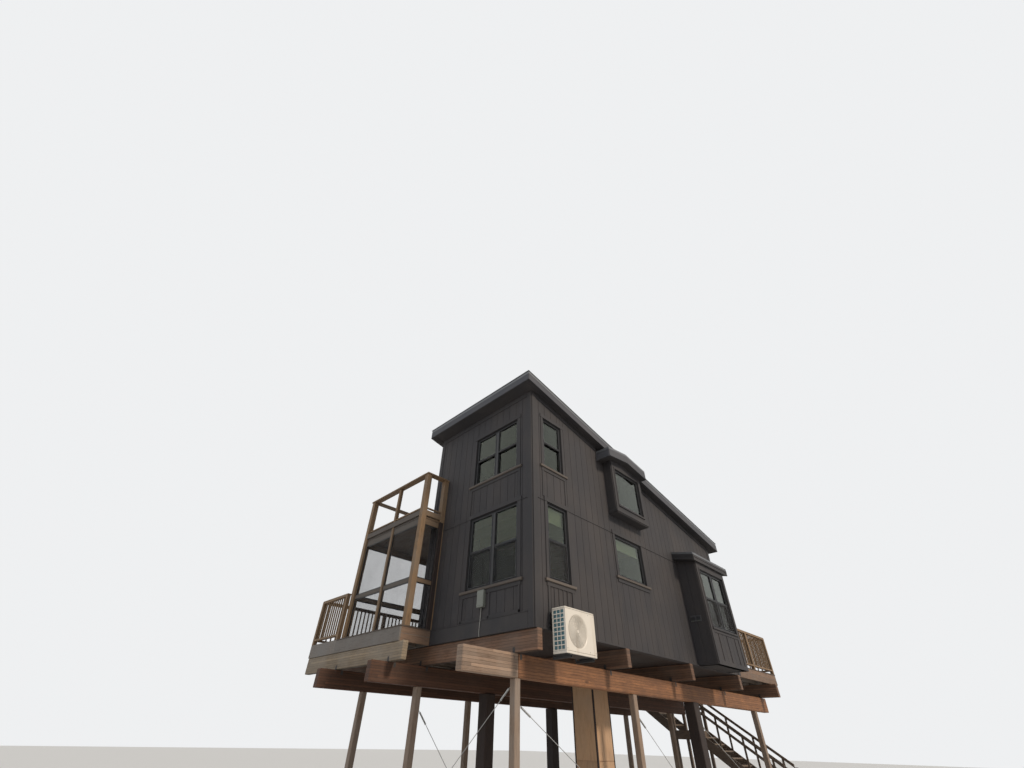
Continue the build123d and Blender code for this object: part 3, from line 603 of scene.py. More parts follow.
# Bays and the hood
BOX_X = (2.96, 4.4)
BOX_FOOT = 3.12
BOX_OUT = 0.25
TALL_X = (6.25, 8.0)
TALL_OUT = 0.55
CROWN_X = (6.05, 8.2)
CROWN_OUT = 0.65
HOOD_OUT = 0.45
HOOD_BOARD = 0.21
HOOD_METAL = (0.215, 0.278)
WALL_GAP = 0.016
HOOD = ((2.65, 4.49), (3.52, 4.6), (4.46, 4.43))


def hood_line(x):
    """Foot of the hood's gable boards at x."""
    (a, za), (b, zb), (c, zc) = HOOD
    return za + (zb - za) * (x - a) / (b - a) if x < b else zb + (zc - zb) * (x - b) / (c - b)


def tall_top(y):
    """Top of the tall bay at y."""
    return 2.62 + 0.2 * y


def bay_faces(ends, out, line=None, side_line=None):
    """Front, left and right face of what stands out from the right wall; side_line goes by y."""
    return (Face(at(0, -out, 0), (1, 0, 0), line),
            Face(at(ends[0], 0, 0), (0, -1, 0), lambda u: side_line(-u)),
            Face(at(ends[1], -out, 0), (0, 1, 0), lambda u: side_line(u - out)))


BOX_FACE, BOX_LEFT, BOX_RIGHT = bay_faces(BOX_X, BOX_OUT, hood_line)
TALL_FACE, TALL_LEFT, TALL_RIGHT = bay_faces(TALL_X, TALL_OUT, side_line=tall_top)

# Holes of windows and doors: u0, u1, v0, v1 on their face
FRONT_LOW = (WIDTH - 2.035, WIDTH - 0.445, 0.91, 2.54)
FRONT_UP = (WIDTH - 2.01, WIDTH - 0.47, 3.42, 4.79)
SIDE_LOW = (0.445, 1.135, 0.91, 2.54)
SIDE_UP = (0.385, 1.085, 3.42, 4.79)
SMALL = (3.04, 4.26, 1.51, 2.53)
BOX_PANE = (3.09, 4.27, 3.26, 4.33)
TALL_PANE = (6.39, 7.86, 0.85, 2.32)
LEFT_PANE = (LENGTH - 6.82, LENGTH - 5.6, 1.51, 2.53)
REAR_PANE = (2.3, 3.2, 0.91, 2.54)
PORCH_DOOR = (LENGTH - 1.76, LENGTH - 0.9, FLOOR, 2.35)
LOFT_DOOR = (LENGTH - 1.76, LENGTH - 0.9, UPPER_FLOOR, 4.89)
REAR_DOOR = (0.7, 1.56, FLOOR, 2.35)

# Windows: face, hole, lights side by side, hung or fixed, share of the blind, width of the casing
WINDOWS = (
    (FRONT, FRONT_LOW, 2, True, 0.0, 0.11), (FRONT, FRONT_UP, 2, True, 0.0, 0.11),
    (RIGHT, SIDE_LOW, 1, True, 0.42, 0.085), (RIGHT, SIDE_UP, 1, True, 0.0, 0.085),
    (RIGHT, SMALL, 1, False, 0.26, 0.09), (BOX_FACE, BOX_PANE, 1, False, 0.0, None),
    (TALL_FACE, TALL_PANE, 2, True, 0.0, None), (LEFT, LEFT_PANE, 1, False, 0.2, 0.09),
    (REAR, REAR_PANE, 1, True, 0.35, 0.09),
)
SCREENED = (FRONT_LOW, SIDE_LOW, TALL_PANE, REAR_PANE)

# Siding
PITCH = 0.24
GROOVE = 0.007
PROUD = 0.012
BEHIND = PROUD - 0.004
CASING = 0.03


def strips(length, holes):
    """Strips of a wall between board joints and the sides of its holes."""
    joints = [i * PITCH for i in range(1, int(length / PITCH) + 1) if length - i * PITCH > 0.03]
    cuts = sorted({0.0, length, *joints, *[v for h in holes for v in h[:2] if 0 < v < length]})
    for a, b in zip(cuts, cuts[1:]):
        if b - a > 0.004:
            yield a, b, a in joints, b in joints


def free_spans(holes, a, b, low, high):
    """Heights of a strip that no hole takes."""
    taken = sorted((h[2], h[3]) for h in holes if h[0] < b - 0.001 and h[1] > a + 0.001)
    free, z = [], low
    for h0, h1 in taken:
        if h0 > z + 0.002:
            free.append((z, min(h0, high)))
        z = max(z, h1)
    if z < high - 0.002:
        free.append((z, high))
    return free


def clad(name, face, holes, foot=0.0):
    """Upright boards over a wall, around its holes, with a seam at the belt."""
    shape = Shape()
    for a, b, joint_a, joint_b in strips(face.length, holes):
        u0, u1 = a + joint_a * GROOVE / 2, b - joint_b * GROOVE / 2
        top0, top1 = face.line(u0), face.line(u1)
        highest = max(top0, top1)
        for z0, z1 in free_spans(holes, a, b, foot, highest):
            runs = [(z0, z1, PROUD)]
            if z0 < BELT < z1:
                runs = [(z0, BELT - 0.006, PROUD), (BELT + 0.006, z1, PROUD + 0.003)]
            for low, high, proud in runs:
                end0, end1 = (top0, top1) if high > highest - 0.01 else (high, high)
                if min(end0, end1) - low >= 0.012:
                    face.plate(shape, [(u0, low), (u1, low), (u1, end1), (u0, end0)], 0.0, proud)
    shape.make(name, CHARCOAL, "dark_siding")


post_u = (WIDTH - PORCH_Y0 - PORCH_POST, WIDTH - PORCH_Y0)
clad("siding_front", FRONT,
     [FRONT_LOW, FRONT_UP, (*post_u, FLOOR, 3.97), (0, post_u[1], 0, FLOOR),
      (0, post_u[1], BAND_FOOT, UPPER_FLOOR)])
clad("siding_right", RIGHT,
     [SIDE_LOW, SIDE_UP, SMALL, (*BOX_X, BOX_FOOT, 4.6), (HOOD[0][0], HOOD[2][0], HOOD[2][1], 4.9),
      (*TALL_X, 0, 2.7), (*CROWN_X, 2.6, 2.83)])
clad("siding_left", LEFT,
     [PORCH_DOOR, LOFT_DOOR, LEFT_PANE, (LENGTH - PORCH_X1, LENGTH, BAND_FOOT, UPPER_FLOOR),
      (LENGTH - PORCH_X1, LENGTH - PORCH_X1 + PORCH_POST, FLOOR, 3.97)], FLOOR)
clad("siding_rear", REAR, [REAR_DOOR, REAR_PANE], FLOOR)

# Corner boards, belt, skirt, frieze
CORNER_BOARD = 0.14
corner_boards = Shape()
for face in (FRONT, RIGHT, LEFT, REAR):
    for u0, top in ((0.0, face.line(0)), (face.length - CORNER_BOARD, face.line(face.length))):
        spans = ((FLOOR if face in (LEFT, REAR) else 0.0, top - 0.035),)
        if face is FRONT and u0 == 0:
            spans = ((FLOOR, 2.74), (2.95, top - 0.002))
        face.rects(corner_boards, [(u0, u0 + CORNER_BOARD, *span) for span in spans], PROUD, 0.026)
corner_boards.make("corner_boards", TRIM, "dark_trim")

belt = Shape()
for face, gaps in (
    (FRONT, [post_u, wider(FRONT_LOW, 0.12)]),
    (RIGHT, [wider(SIDE_LOW, 0.1), wider(SMALL, 0.1), (TALL_X[0] - 0.21, LENGTH)]),
    (LEFT, [wider(LEFT_PANE, 0.1), (LENGTH - PORCH_X1, LENGTH)]),
    (REAR, [wider(REAR_PANE, 0.1), (WIDTH - CORNER_BOARD, WIDTH)]),
):
    u = 0.0
    for g0, g1 in [(0, CORNER_BOARD), *gaps, (face.length, face.length)]:
        if g0 - u > 0.05:
            face.rect(belt, u, g0, BELT - 0.008, BELT + 0.008, 0.002, PROUD + 0.012, 0.002)
        u = max(u, g1)
belt.make("belt_flashing", TRIM_LONG, "dark_trim")

skirt = Shape()
front_run = (post_u[1] + 0.003, WIDTH - CORNER_BOARD)
FRONT.rect(skirt, *front_run, 0.0, 0.27, PROUD, 0.03)
FRONT.rect(skirt, *front_run, 0.27, 0.29, PROUD, 0.036, 0.006)
RIGHT.rect(skirt, CORNER_BOARD, TALL_X[0], 0.0, 0.03, PROUD, 0.024)
skirt.make("skirt_board", TRIM_CROSS, "dark_trim")

frieze = Shape()
for face in (FRONT, REAR):
    face.strip(frieze, (CORNER_BOARD, WIDTH - CORNER_BOARD), -0.13, -0.002, PROUD, 0.03)
for face, run in (
    (RIGHT, (CORNER_BOARD, HOOD[0][0] - 0.01)),
    (RIGHT, (HOOD[2][0] + 0.01, LENGTH - CORNER_BOARD)),
    (LEFT, (CORNER_BOARD, LENGTH - CORNER_BOARD)),
):
    face.strip(frieze, run, -0.12, -0.002, PROUD, 0.028)
frieze.make("frieze_boards", TRIM_LONG, "dark_trim")

# Window casings, sills and panels
casings, sills = Shape(), Shape()


def casing(face, hole, side):
    """Flat casing round a window, with a sill and an apron under it."""
    u0, u1, v0, v1 = hole
    foot = v0 - 0.055
    face.rects(casings, ((u0 - side, u0, v0, v1), (u1, u1 + side, v0, v1)), BEHIND, CASING)
    face.rect(casings, *wider(hole, side + 0.012), v1, v1 + 0.1, BEHIND, CASING + 0.006)
    face.rect(sills, *wider(hole, side + 0.05), foot, v0, BEHIND, 0.06, 0.008)
    face.rect(casings, *wider(hole, side), foot - 0.08, foot, BEHIND, CASING)


def battens(face, places, v0, v1, width=0.04, proud=CASING):
    """Upright battens centred on places."""
    face.rects(casings, [(u - width / 2, u + width / 2, v0, v1) for u in places], BEHIND, proud)


for face, hole, lights, hung, shade, side in WINDOWS:
    if side:
        casing(face, hole, side)
APRON_LOW = 0.775
APRON_UP = 3.285
left, right = FRONT_LOW[:2]
battens(FRONT, (left - 0.07, (left + right) / 2, right + 0.07), 0.29, APRON_LOW)
FRONT.rect(casings, left - 0.09, right + 0.09, 0.29, 0.34, BEHIND, CASING)
battens(FRONT, wider(FRONT_UP, 0.08), BELT + 0.09, APRON_UP, 0.06)
battens(RIGHT, wider(SIDE_LOW, 0.03), 0.1, APRON_LOW, 0.06)
battens(RIGHT, [SIDE_LOW[0] + 0.14 + i * 0.137 for i in range(4)], 0.16, APRON_LOW, 0.03, 0.024)
RIGHT.rect(casings, *wider(SIDE_LOW, 0.06), 0.06, 0.12, BEHIND, CASING)
battens(RIGHT, wider(SIDE_UP, 0.05), BELT + 0.09, APRON_UP, 0.05)
casings.make("window_casings", TRIM, "dark_trim")
sills.make("window_sills", SILL, "dark_trim")

# Sashes, panes' beads, blinds
SASH = 0.015
SASH_BAR = 0.06
MULLION = 0.12
MEETING = 0.05
beads, blinds, locks, screens = Shape(), Shape(), Shape(), Shape()


def sash_beads(face, hole, lights, hung):
    """Beads and sash edges round every pane of a window; gives the panes, with their row from the top."""
    u0, u1, v0, v1 = hole
    rows = 2 if hung else 1
    light = (u1 - u0 - 2 * SASH_BAR - (lights - 1) * MULLION) / lights
    height = (v1 - v0 - 2 * SASH_BAR - (rows - 1) * MEETING) / rows
    panes = []
    for column in range(lights):
        a = u0 + SASH_BAR + column * (light + MULLION)
        b = a + light
        for row in range(rows):
            top = v1 - SASH_BAR - row * (height + MEETING)
            foot = top - height
            inset = SASH + 0.01 if row else SASH - 0.004
            panes.append((a, b, foot, top, row))
            edges = ((a - 0.026, a, foot - 0.02, top + 0.02), (b, b + 0.026, foot - 0.02, top + 0.02),
                     (a, b, top, top + 0.02), (a, b, foot - 0.02, foot))
            face.rects(beads, edges, -SASH - 0.002, -SASH + 0.009)
            inner = ((a, a + 0.012, foot, top), (b - 0.012, b, foot, top))
            face.rects(beads, inner, -inset - 0.03, -inset - 0.006, 0.002)
    face.rects(beads, border(*hole, 0.014), -SASH - 0.002, 0.004)
    return panes


def window_screen(face, a, b, low, high):
    """Insect screen in its thin frame, over a lower sash."""
    a, b, low, high = a - 0.014, b + 0.014, low - 0.014, high + 0.016
    bar = 0.016
    face.rects(screens, border(a, b, low, high, bar), -0.0055, 0.0015, 0.002, 1)
    face.rect(screens, a + bar, b - bar, low + bar, high - bar, -0.0035, -0.0025, 0.0003)


def blind(face, a, b, low, high):
    """Pleated blind behind a pane, with its bottom rail and head rail."""
    depth = 0.118
    pleats = max(2, round((high - low) / 0.022))
    points, faces = [], []
    for i, v in enumerate(steps(high, low, 2 * pleats)):
        w = -depth - i % 2 * 0.008
        points += [face.spot(u, v, w - back) for back in (0.0, 0.003) for u in (a, b)]
    for k in range(0, 8 * pleats, 4):
        faces += [[k, k + 4, k + 5, k + 1], [k + 2, k + 3, k + 7, k + 6],
                  [k, k + 2, k + 6, k + 4], [k + 1, k + 5, k + 7, k + 3]]
    k = 8 * pleats
    blinds.add(points, [*faces, [0, 1, 3, 2], [k, k + 2, k + 3, k + 1]])
    face.rect(blinds, a, b, low - 0.016, low, -depth - 0.014, -depth + 0.004)
    face.rect(blinds, a, b, high, high + 0.03, -depth - 0.02, -depth + 0.008)


for face, hole, lights, hung, shade, side in WINDOWS:
    for a, b, low, high, row in sash_beads(face, hole, lights, hung):
        if shade and row == 0:
            blind(face, a + 0.004, b - 0.004, high - (high - low) * shade, high - 0.03)
        if hole in SCREENED and row == 1:
            window_screen(face, a, b, low, high)
        if row == 1:
            middle = (a + b) / 2
            face.rect(locks, middle - 0.03, middle + 0.03, high + 0.012, high + 0.03, -0.03, 0.0)
            face.rect(locks, middle - 0.08, middle + 0.08, low - 0.014, low - 0.004, -0.02, -0.006, 0.002)
beads.make("sash_beads", BLACK, "window_frame")
blinds.make("window_blinds", BLIND)
locks.make("sash_locks", UNIT_DARK, "window_frame")
screens.make("window_screens", [WINDOW_SCREEN, BLACK], "insect_screen")

# Roof
ROOF_DEPTH = 0.27
roof_x0, roof_x1 = (v[0] - CORNER.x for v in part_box("roof_fascia"))
roof_y0, roof_y1 = (v[1] - CORNER.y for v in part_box("roof_fascia"))
eaves, drips = Shape(), Shape()


def edge_boards(face, u0, u1, over, foot, lip, top):
    """Fascia board with its lip, and the drip edge over it; depths are over the soffit."""
    face.strip(eaves, (u0, u1), foot, 0.19, 0.0, 0.012)
    face.strip(eaves, (u0, u1), foot, lip, 0.012, 0.017)
    face.strip(drips, (u0 - over, u1 + over), 0.2, top, 0.0, 0.008)
    face.strip(drips, (u0 - over, u1 + over), 0.188, 0.2, 0.0, 0.017, 0.004)


edge_boards(Face(at(0, roof_y0, 0), (1, 0, 0), RIGHT.line),
            roof_x0, roof_x1, 0.006, 0.0, 0.028, ROOF_DEPTH - 0.001)
edge_boards(Face(at(LENGTH, roof_y1, 0), (-1, 0, 0), LEFT.line),
            LENGTH - roof_x0, LENGTH - roof_x1, -0.006, 0.0, 0.028, ROOF_DEPTH - 0.001)
edge_boards(Face(at(roof_x0, WIDTH, 0), (0, -1, 0), lambda u: soffit(roof_x0)),
            WIDTH - roof_y1, WIDTH - roof_y0, 0.0, 0.004, 0.03, ROOF_DEPTH - 0.006)
edge_boards(Face(at(roof_x1, 0, 0), (0, 1, 0), lambda u: soffit(roof_x1)),
            roof_y0, roof_y1, 0.0, 0.004, 0.03, ROOF_DEPTH - 0.006)
eaves.make("eave_boards", SLATE, "dark_trim")
drips.make("drip_edges", FLASHING, "roofing")

soffits = Shape()
for y0, y1 in ((roof_y0 + 0.02, -0.032), (WIDTH + 0.032, roof_y1 - 0.02)):
    x = roof_x0 + 0.03
    while x < roof_x1 - 0.05:
        next_x = min(x + 1.2, roof_x1 - 0.03)
        for a, b in parts(y0, y1, 2, 0.003):
            lining_face = Face(at(0, b, 0), (1, 0, 0), soffit)
            lining_face.strip(soffits, (x + 0.003, next_x - 0.003), 0.0, -0.01, 0.0, b - a, 0.001)
        x = next_x
soffits.make("soffit_boards", TRIM_LONG, "dark_trim")

SHEET_TOP = ROOF_DEPTH + 0.015
seams = Shape()
for y in steps(roof_y0 + 0.04, roof_y1 - 0.04, 9):
    a, b = (at(x, y, soffit(x) + SHEET_TOP + 0.011) for x in (roof_x0 + 0.16, roof_x1 - 0.02))
    seams.bar(a, b, 0.014, 0.024)
    seams.bar(a + Vector((0.01, 0, -0.01)), b + Vector((-0.01, 0, -0.01)), 0.05, 0.006, 0.002)
ridge_x = roof_x0 + 0.1
a, b = (at(ridge_x, y, soffit(ridge_x) + SHEET_TOP + 0.004) for y in (roof_y0, roof_y1))
seams.bar(a, b, 0.12, 0.008, 0.002, up=(SLOPE, 0, 1))
seams.make("roof_seams", ROOFING, "roofing")


def pane_trim(shape, face, pane, rim, proud, over, depth, sill_proud):
    """Sill and rim round a bay's pane."""
    u0, u1, v0, v1 = pane
    face.rect(shape, u0 - over, u1 + over, v0 - depth, v0, 0.02, sill_proud, 0.006)
    face.rects(shape, ((u0 - rim, u0, v0, v1 + rim), (u1, u1 + rim, v0, v1 + rim), (u0, u1, v1, v1 + rim)),
               0.02, proud)


# Box bay and its hood
BAY_PROUD = 0.022
box = Shape()
u0, u1, v0, v1 = BOX_PANE
x0, x1 = BOX_X
ridge_x, ridge_z = HOOD[1]
BOX_FACE.under(box, x0, u0, BOX_FOOT, 0, BAY_PROUD)
BOX_FACE.under(box, u1, x1, BOX_FOOT, 0, BAY_PROUD)
BOX_FACE.plate(box, [(u0, v1), (u1, v1), (u1, hood_line(u1)), (ridge_x, ridge_z), (u0, hood_line(u0))],
               0, BAY_PROUD)
BOX_FACE.rect(box, u0, u1, BOX_FOOT, v0, 0, BAY_PROUD)
for face, x, post, rest in ((BOX_LEFT, x0, (0.16, BOX_OUT), (0.014, 0.16)),
                            (BOX_RIGHT, x1, (0.0, 0.09), (0.09, 0.236))):
    for run, proud in ((post, BAY_PROUD), (rest, 0.01)):
        face.rect(box, *run, BOX_FOOT, hood_line(x) - 0.003, 0, proud)
box.make("box_bay_boards", TRIM, "dark_siding")

ledge = Shape()
ledge.block(at(x0 - 0.045, -0.3, 3.045), at(x1 + 0.045, -0.014, BOX_FOOT), 0.008)
ledge.block(at(x0 - 0.025, -0.28, 3.02), at(x1 + 0.025, -0.014, 3.046), 0.006)
pane_trim(ledge, BOX_FACE, BOX_PANE, 0.035, 0.034, 0.03, 0.045, 0.05)
ledge.make("box_bay_ledge", TRIM_LONG, "dark_trim")

hood, hood_metal = Shape(), Shape()
HOOD_LIP = 0.04
hood_front, hood_left, hood_right = bay_faces((HOOD[0][0], HOOD[2][0]), HOOD_OUT, hood_line)
for (a, low), (b, high) in zip(HOOD, HOOD[1:]):
    hood_front.strip(hood, (a, b), 0, HOOD_BOARD, 0, 0.014)
    hood_front.strip(hood, (a, b), 0, HOOD_LIP, 0.014, 0.024)
    hood_front.strip(hood_metal, (a, b), *HOOD_METAL, 0, 0.012)
    hood_metal.bar(at(a, -0.235, low + 0.284), at(b, -0.235, high + 0.284), 0.44, 0.01)
left_z, right_z = HOOD[0][1], HOOD[2][1]
hood_left.rect(hood, WALL_GAP, HOOD_OUT, left_z, left_z + HOOD_BOARD, 0, 0.012)
hood_left.rect(hood, WALL_GAP, HOOD_OUT, left_z, left_z + HOOD_LIP, 0.012, 0.02)
hood_left.rect(hood_metal, WALL_GAP, HOOD_OUT, *[left_z + d for d in HOOD_METAL], 0, 0.01)
hood_right.rect(hood, 0.0, HOOD_OUT - WALL_GAP, right_z, right_z + HOOD_BOARD, 0, 0.01)
hood.make("hood_fascia", SLATE, "dark_trim")
hood_metal.make("hood_flashing", FLASHING, "roofing")

# Tall bay
TALL_PROUD = 0.024
tall, tall_trim = Shape(), Shape()
u0, u1, v0, v1 = TALL_PANE
x0, x1 = TALL_X
top = tall_top(-TALL_OUT) - 0.004
panel_top = v0 - 0.12
TALL_FACE.rects(tall, ((x0, u0, 0, top), (u1, x1, 0, top), (u0, u1, v1, top), (u0, u1, 0.0, 0.1),
                       (u0, u1, panel_top, v0)), 0, TALL_PROUD)
TALL_FACE.rects(tall, [(a, b, 0.1, panel_top) for a, b in parts(u0, u1, 6, 0.003)], 0, 0.01)
TALL_FACE.rects(tall, [(u - 0.018, u + 0.018, 0.1, panel_top) for u in steps(u0, u1, 6)[1::2]],
                0.01, TALL_PROUD)
for face, boards in (
    (TALL_LEFT, ((0.014, 0.24, 0.01), (0.246, 0.46, 0.01), (0.46, TALL_OUT, TALL_PROUD))),
    (TALL_RIGHT, ((0.0, 0.09, TALL_PROUD), (0.09, 0.3, 0.01), (0.306, 0.536, 0.01))),
):
    for a, b, proud in boards:
        face.under(tall, a, b, 0, 0.004, proud)
tall.make("tall_bay_boards", CHARCOAL, "dark_siding")
pane_trim(tall_trim, TALL_FACE, TALL_PANE, 0.04, 0.036, 0.05, 0.05, 0.055)
tall_trim.block(at(x0 - 0.02, -0.575, 0.0), at(x1 + 0.02, -0.014, 0.035), 0.006)
tall_trim.make("tall_bay_trim", TRIM_LONG, "dark_trim")

crown, crown_metal = Shape(), Shape()
x0, x1 = CROWN_X
z = tall_top(-CROWN_OUT)
crown_front, crown_left, crown_right = bay_faces(CROWN_X, CROWN_OUT, side_line=tall_top)
crown_front.rect(crown, x0, x1, z, z + 0.088, -0.03, -0.01, 0.004)
crown_front.rect(crown, x0, x1, z + 0.092, z + 0.15, -0.03, 0.0, 0.004)
crown_front.rect(crown_metal, x0 - 0.01, x1 + 0.01, z + 0.153, z + 0.198, -0.03, -0.002, 0.004)
crown_left.strip(crown, (0.0, 0.62), 0.001, 0.197, x0 - x1 + 0.002, -0.002, 0.004)
for face, ends in ((crown_left, (WALL_GAP, CROWN_OUT)), (crown_right, (0.0, CROWN_OUT - WALL_GAP))):
    face.strip(crown, ends, 0.0, 0.09, 0, 0.012)
    face.strip(crown, ends, 0.095, 0.15, 0, 0.02)
    face.strip(crown_metal, ends, 0.152, 0.198, 0, 0.014)
crown_metal.bar(*[at((x0 + x1) / 2, y, tall_top(y) + 0.204) for y in (-0.02, -0.645)],
                x1 - x0 + 0.02, 0.008, 0.002)
for x in (6.2, 6.66, 7.12, 7.58, 8.05):
    crown_metal.bar(*[at(x, y, tall_top(y) + 0.214) for y in (-0.03, -0.635)], 0.014, 0.02)
crown.make("tall_bay_crown", TRIM_LONG, "dark_trim", ("tall_bay_roof",))
crown_metal.make("tall_bay_flashing", FLASHING, "roofing")


# Timbers under the house
def timber(node, name, materials, boxes=(), first=0):
    """Glued beams of a node with eased edges; the first one may have another material."""
    shape = Shape()
    for i, (low, high) in enumerate(boxes or blocks_of(node)):
        shape.block(low, high, 0.012, 0 if i else first)
    shape.make(name, materials, "glued_beam", (node,))


low, high = blocks_of("near_beam")[0]
splice = sum(v.x for v in blocks_of("near_posts")[0]) / 2
halves = ((low, (splice - 0.002, high.y, high.z)), ((splice + 0.002, low.y, low.z), high))
timber("near_beam", "near_beam_timber", [GLULAM_X, GLULAM_PALE], halves, 1)
# The middle and far beams take the darker copy of the glued beam: painted shade under the house
timber("middle_beam", "middle_beam_timber", GLULAM_DARK)
timber("far_beam", "far_beam_timber", GLULAM_DARK)
timber("cross_beams", "cross_beam_timbers", [GLULAM_Y, PORCH_BEAM], first=1)


def posts(node, name):
    """Posts with eased edges: slim ones weathered, stout ones dark, darkened further as painted deep shade,
    each on a steel shoe.
    """
    shape, shoes = Shape(), Shape()
    shoe = 0.012
    for low, high in blocks_of(node):
        stout = high.x - low.x > 0.2
        shape.block(low + Vector((0, 0, shoe)), high, 0.012, 1 if stout else 0)
        shoes.block((low.x - 0.02, low.y - 0.02, 0.0), (high.x + 0.02, high.y + 0.02, shoe), 0.003)
        for y, side in ((low.y, -1), (high.y, 1)):
            shoes.block((low.x + 0.02, y, shoe), (high.x - 0.02, y + side * 0.005, 0.12), 0.0015)
            for x in (low.x + 0.045, high.x - 0.045):
                shoes.rod((x, y + side * 0.004, 0.075), (x, y + side * 0.012, 0.075), 0.011, 6)
    shape.make(name, [POST, POST_DARK], "brown_post", (node,))
    shoes.make(name + "_shoes", STEEL, "galvanised")


posts("near_posts", "near_post_timbers")
posts("middle_posts", "middle_post_timbers")
posts("far_posts", "far_post_timbers")

ties = Shape()
for row in ("near_beam", "middle_beam", "far_beam"):
    low, high = corners(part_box(row))
    y, z = low.y, high.z
    for cross_low, cross_high in blocks_of("cross_beams"):
        if cross_low.y > high.y:
            continue
        for x, side, reach in ((cross_low.x, -1, 0.003), (cross_high.x, 1, 0.06)):
            ties.block((x, y - 0.003, z - 0.09), (x + side * reach, y, z - 0.005), 0.001)
            ties.block((x, y - 0.003, z), (x + side * 0.003, y + 0.06, z + 0.09), 0.001)
            ties.rod((x + side * 0.03, y - 0.002, z - 0.05), (x + side * 0.03, y - 0.01, z - 0.05), 0.007, 6)
ties.make("beam_ties", BOLT, "galvanised")

house_floor, lining = Shape(), Shape()
low, high = corners(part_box("house_floor"))
for a, b in parts(low.y, high.y, 24, 0.0015):
    house_floor.block((low.x, a, high.z - 0.036), (high.x, b, high.z), 0.002)
for y in steps(low.y + 0.0225, high.y - 0.0225, 7):
    house_floor.block((low.x, y - 0.0225, low.z + 0.014), (high.x, y + 0.0225, high.z - 0.037))
# The lining under the floor takes the dark post colour: painted shade on the house's underside
for xa, xb in parts(low.x, high.x, 7, 0.003):
    for ya, yb in parts(low.y, high.y, 3, 0.003):
        lining.block((xa, ya, low.z + 0.001), (xb, yb, low.z + 0.013), 0.003)
house_floor.make("house_floor_boards", INSIDE, "floor_board", ("house_floor",))
lining.make("floor_lining", POST_DARK, "brown_post")

# Service chase
SHEET = 1.22
chase = Shape()
low, high = corners(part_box("service_chase"))
size, top = high.x - low.x, high.z - 0.002
for x, y, u in ((low.x, low.y, (1, 0, 0)), (high.x, low.y, (0, 1, 0)),
                (high.x, high.y, (-1, 0, 0)), (low.x, high.y, (0, -1, 0))):
    Face((x, y, 0), u).rects(chase, ((0.024, size - 0.024, 0.0, SHEET - 0.004),
                                     (0.024, size - 0.024, SHEET + 0.004, top)), 0, 0.012, 0.002)
for x, out_x in ((low.x, -1), (high.x, 1)):
    for y, out_y in ((low.y, -1), (high.y, 1)):
        chase.block((x + out_x * 0.014, y + out_y * 0.014, 0.0),
                    (x - out_x * 0.021, y - out_y * 0.021, top), 0.003, 1)
chase.make("chase_sheets", [PLY, POST_DARK], "plywood")

# Decks
BOARD = 0.14
GAP = 0.006
INSET = 0.003
FASCIA = 0.036


def deck(node, name, areas, fascias=(), top=FLOOR, depth=0.3):
    """Deck of joists, rims and separate boards; areas and fascias are x0, x1, y0, y1."""
    shape = Shape()
    under, foot, middle = top - 0.036, top - depth, top - depth * 0.5
    for x0, x1, y0, y1 in areas:
        for y in steps(y0 + 0.02, y1 - 0.02, max(2, round((y1 - y0) / 0.45))):
            shape.block(at(x0 + 0.04, y - 0.02, foot + 0.02), at(x1 - 0.04, y + 0.02, under), slot=1)
        for a, b in ((x0, x0 + 0.04), (x1 - 0.04, x1)):
            shape.block(at(a, y0, foot + 0.004), at(b, y1, under), slot=2)
        for a, b in parts(x0, x1, round((x1 - x0) / BOARD), GAP / 2):
            shape.block(at(a, y0, under), at(b, y1, top))
    for x0, x1, y0, y1 in fascias:
        if x1 - x0 < y1 - y0:
            shape.block(at(x0, y0, foot), at(x1, y1, top - 0.003), 0.005, 2)
        else:
            shape.block(at(x0, y0, foot), at(x1, y1, middle - 0.003), 0.005, 3)
            shape.block(at(x0, y0, middle + 0.003), at(x1, y1, top - 0.003), 0.005, 3)
    shape.make(name, [DECK_Y, GREY_X, GREY_Y, STREAK_X], "grey_timber", (node,))


deck("porch_deck", "porch_deck_boards",
     [(DECK_X0 + INSET, 0.0, PORCH_Y0 + INSET, PORCH_Y1), (0.0, PORCH_X1, WIDTH, PORCH_Y1)],
     [(DECK_X0, DECK_X0 + FASCIA, PORCH_Y0, PORCH_Y1), (DECK_X0 + FASCIA, 0.0, PORCH_Y0, PORCH_Y0 + FASCIA)])
deck("back_deck", "back_deck_boards", [(PORCH_X1, LENGTH, WIDTH, PORCH_Y1)])
end_low, end_high = (v - CORNER for v in corners(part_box("end_deck")))
x0, x1, y0, y1 = end_low.x, end_high.x, end_low.y, end_high.y
deck("end_deck", "end_deck_boards", [(x0, x1 - INSET, y0 + INSET, y1)],
     [(x1 - FASCIA, x1, y0, y1), (x0, x1 - FASCIA, y0, y0 + FASCIA)])
walk_low, walk_high = (v - CORNER for v in corners(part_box("walkway")))
x0, x1, y0, y1 = walk_low.x, walk_high.x, walk_low.y, walk_high.y
deck("walkway", "walkway_boards", [(x0 + INSET, x1 - INSET, y0, y1 - INSET)],
     [(x0, x0 + FASCIA, y0, y1), (x0 + FASCIA, x1, y1 - FASCIA, y1), (x1 - FASCIA, x1, y0, y1 - FASCIA)])

# Dark nosing along the deck edges: painted shade, darker than the boards it belongs to
nosing = Shape()
for x0, x1, y0, y1 in (
    (DECK_X0 - 0.014, DECK_X0 - 0.0005, PORCH_Y0 - 0.014, PORCH_Y1),
    (DECK_X0, -0.032, PORCH_Y0 - 0.014, PORCH_Y0 - 0.0005),
    (LENGTH + 0.032, end_high.x, end_low.y - 0.014, end_low.y - 0.0005),
):
    nosing.block(at(x0, y0, FLOOR - 0.024), at(x1, y1, FLOOR - 0.001))
nosing.make("deck_nosing", NOSING, "grey_timber")

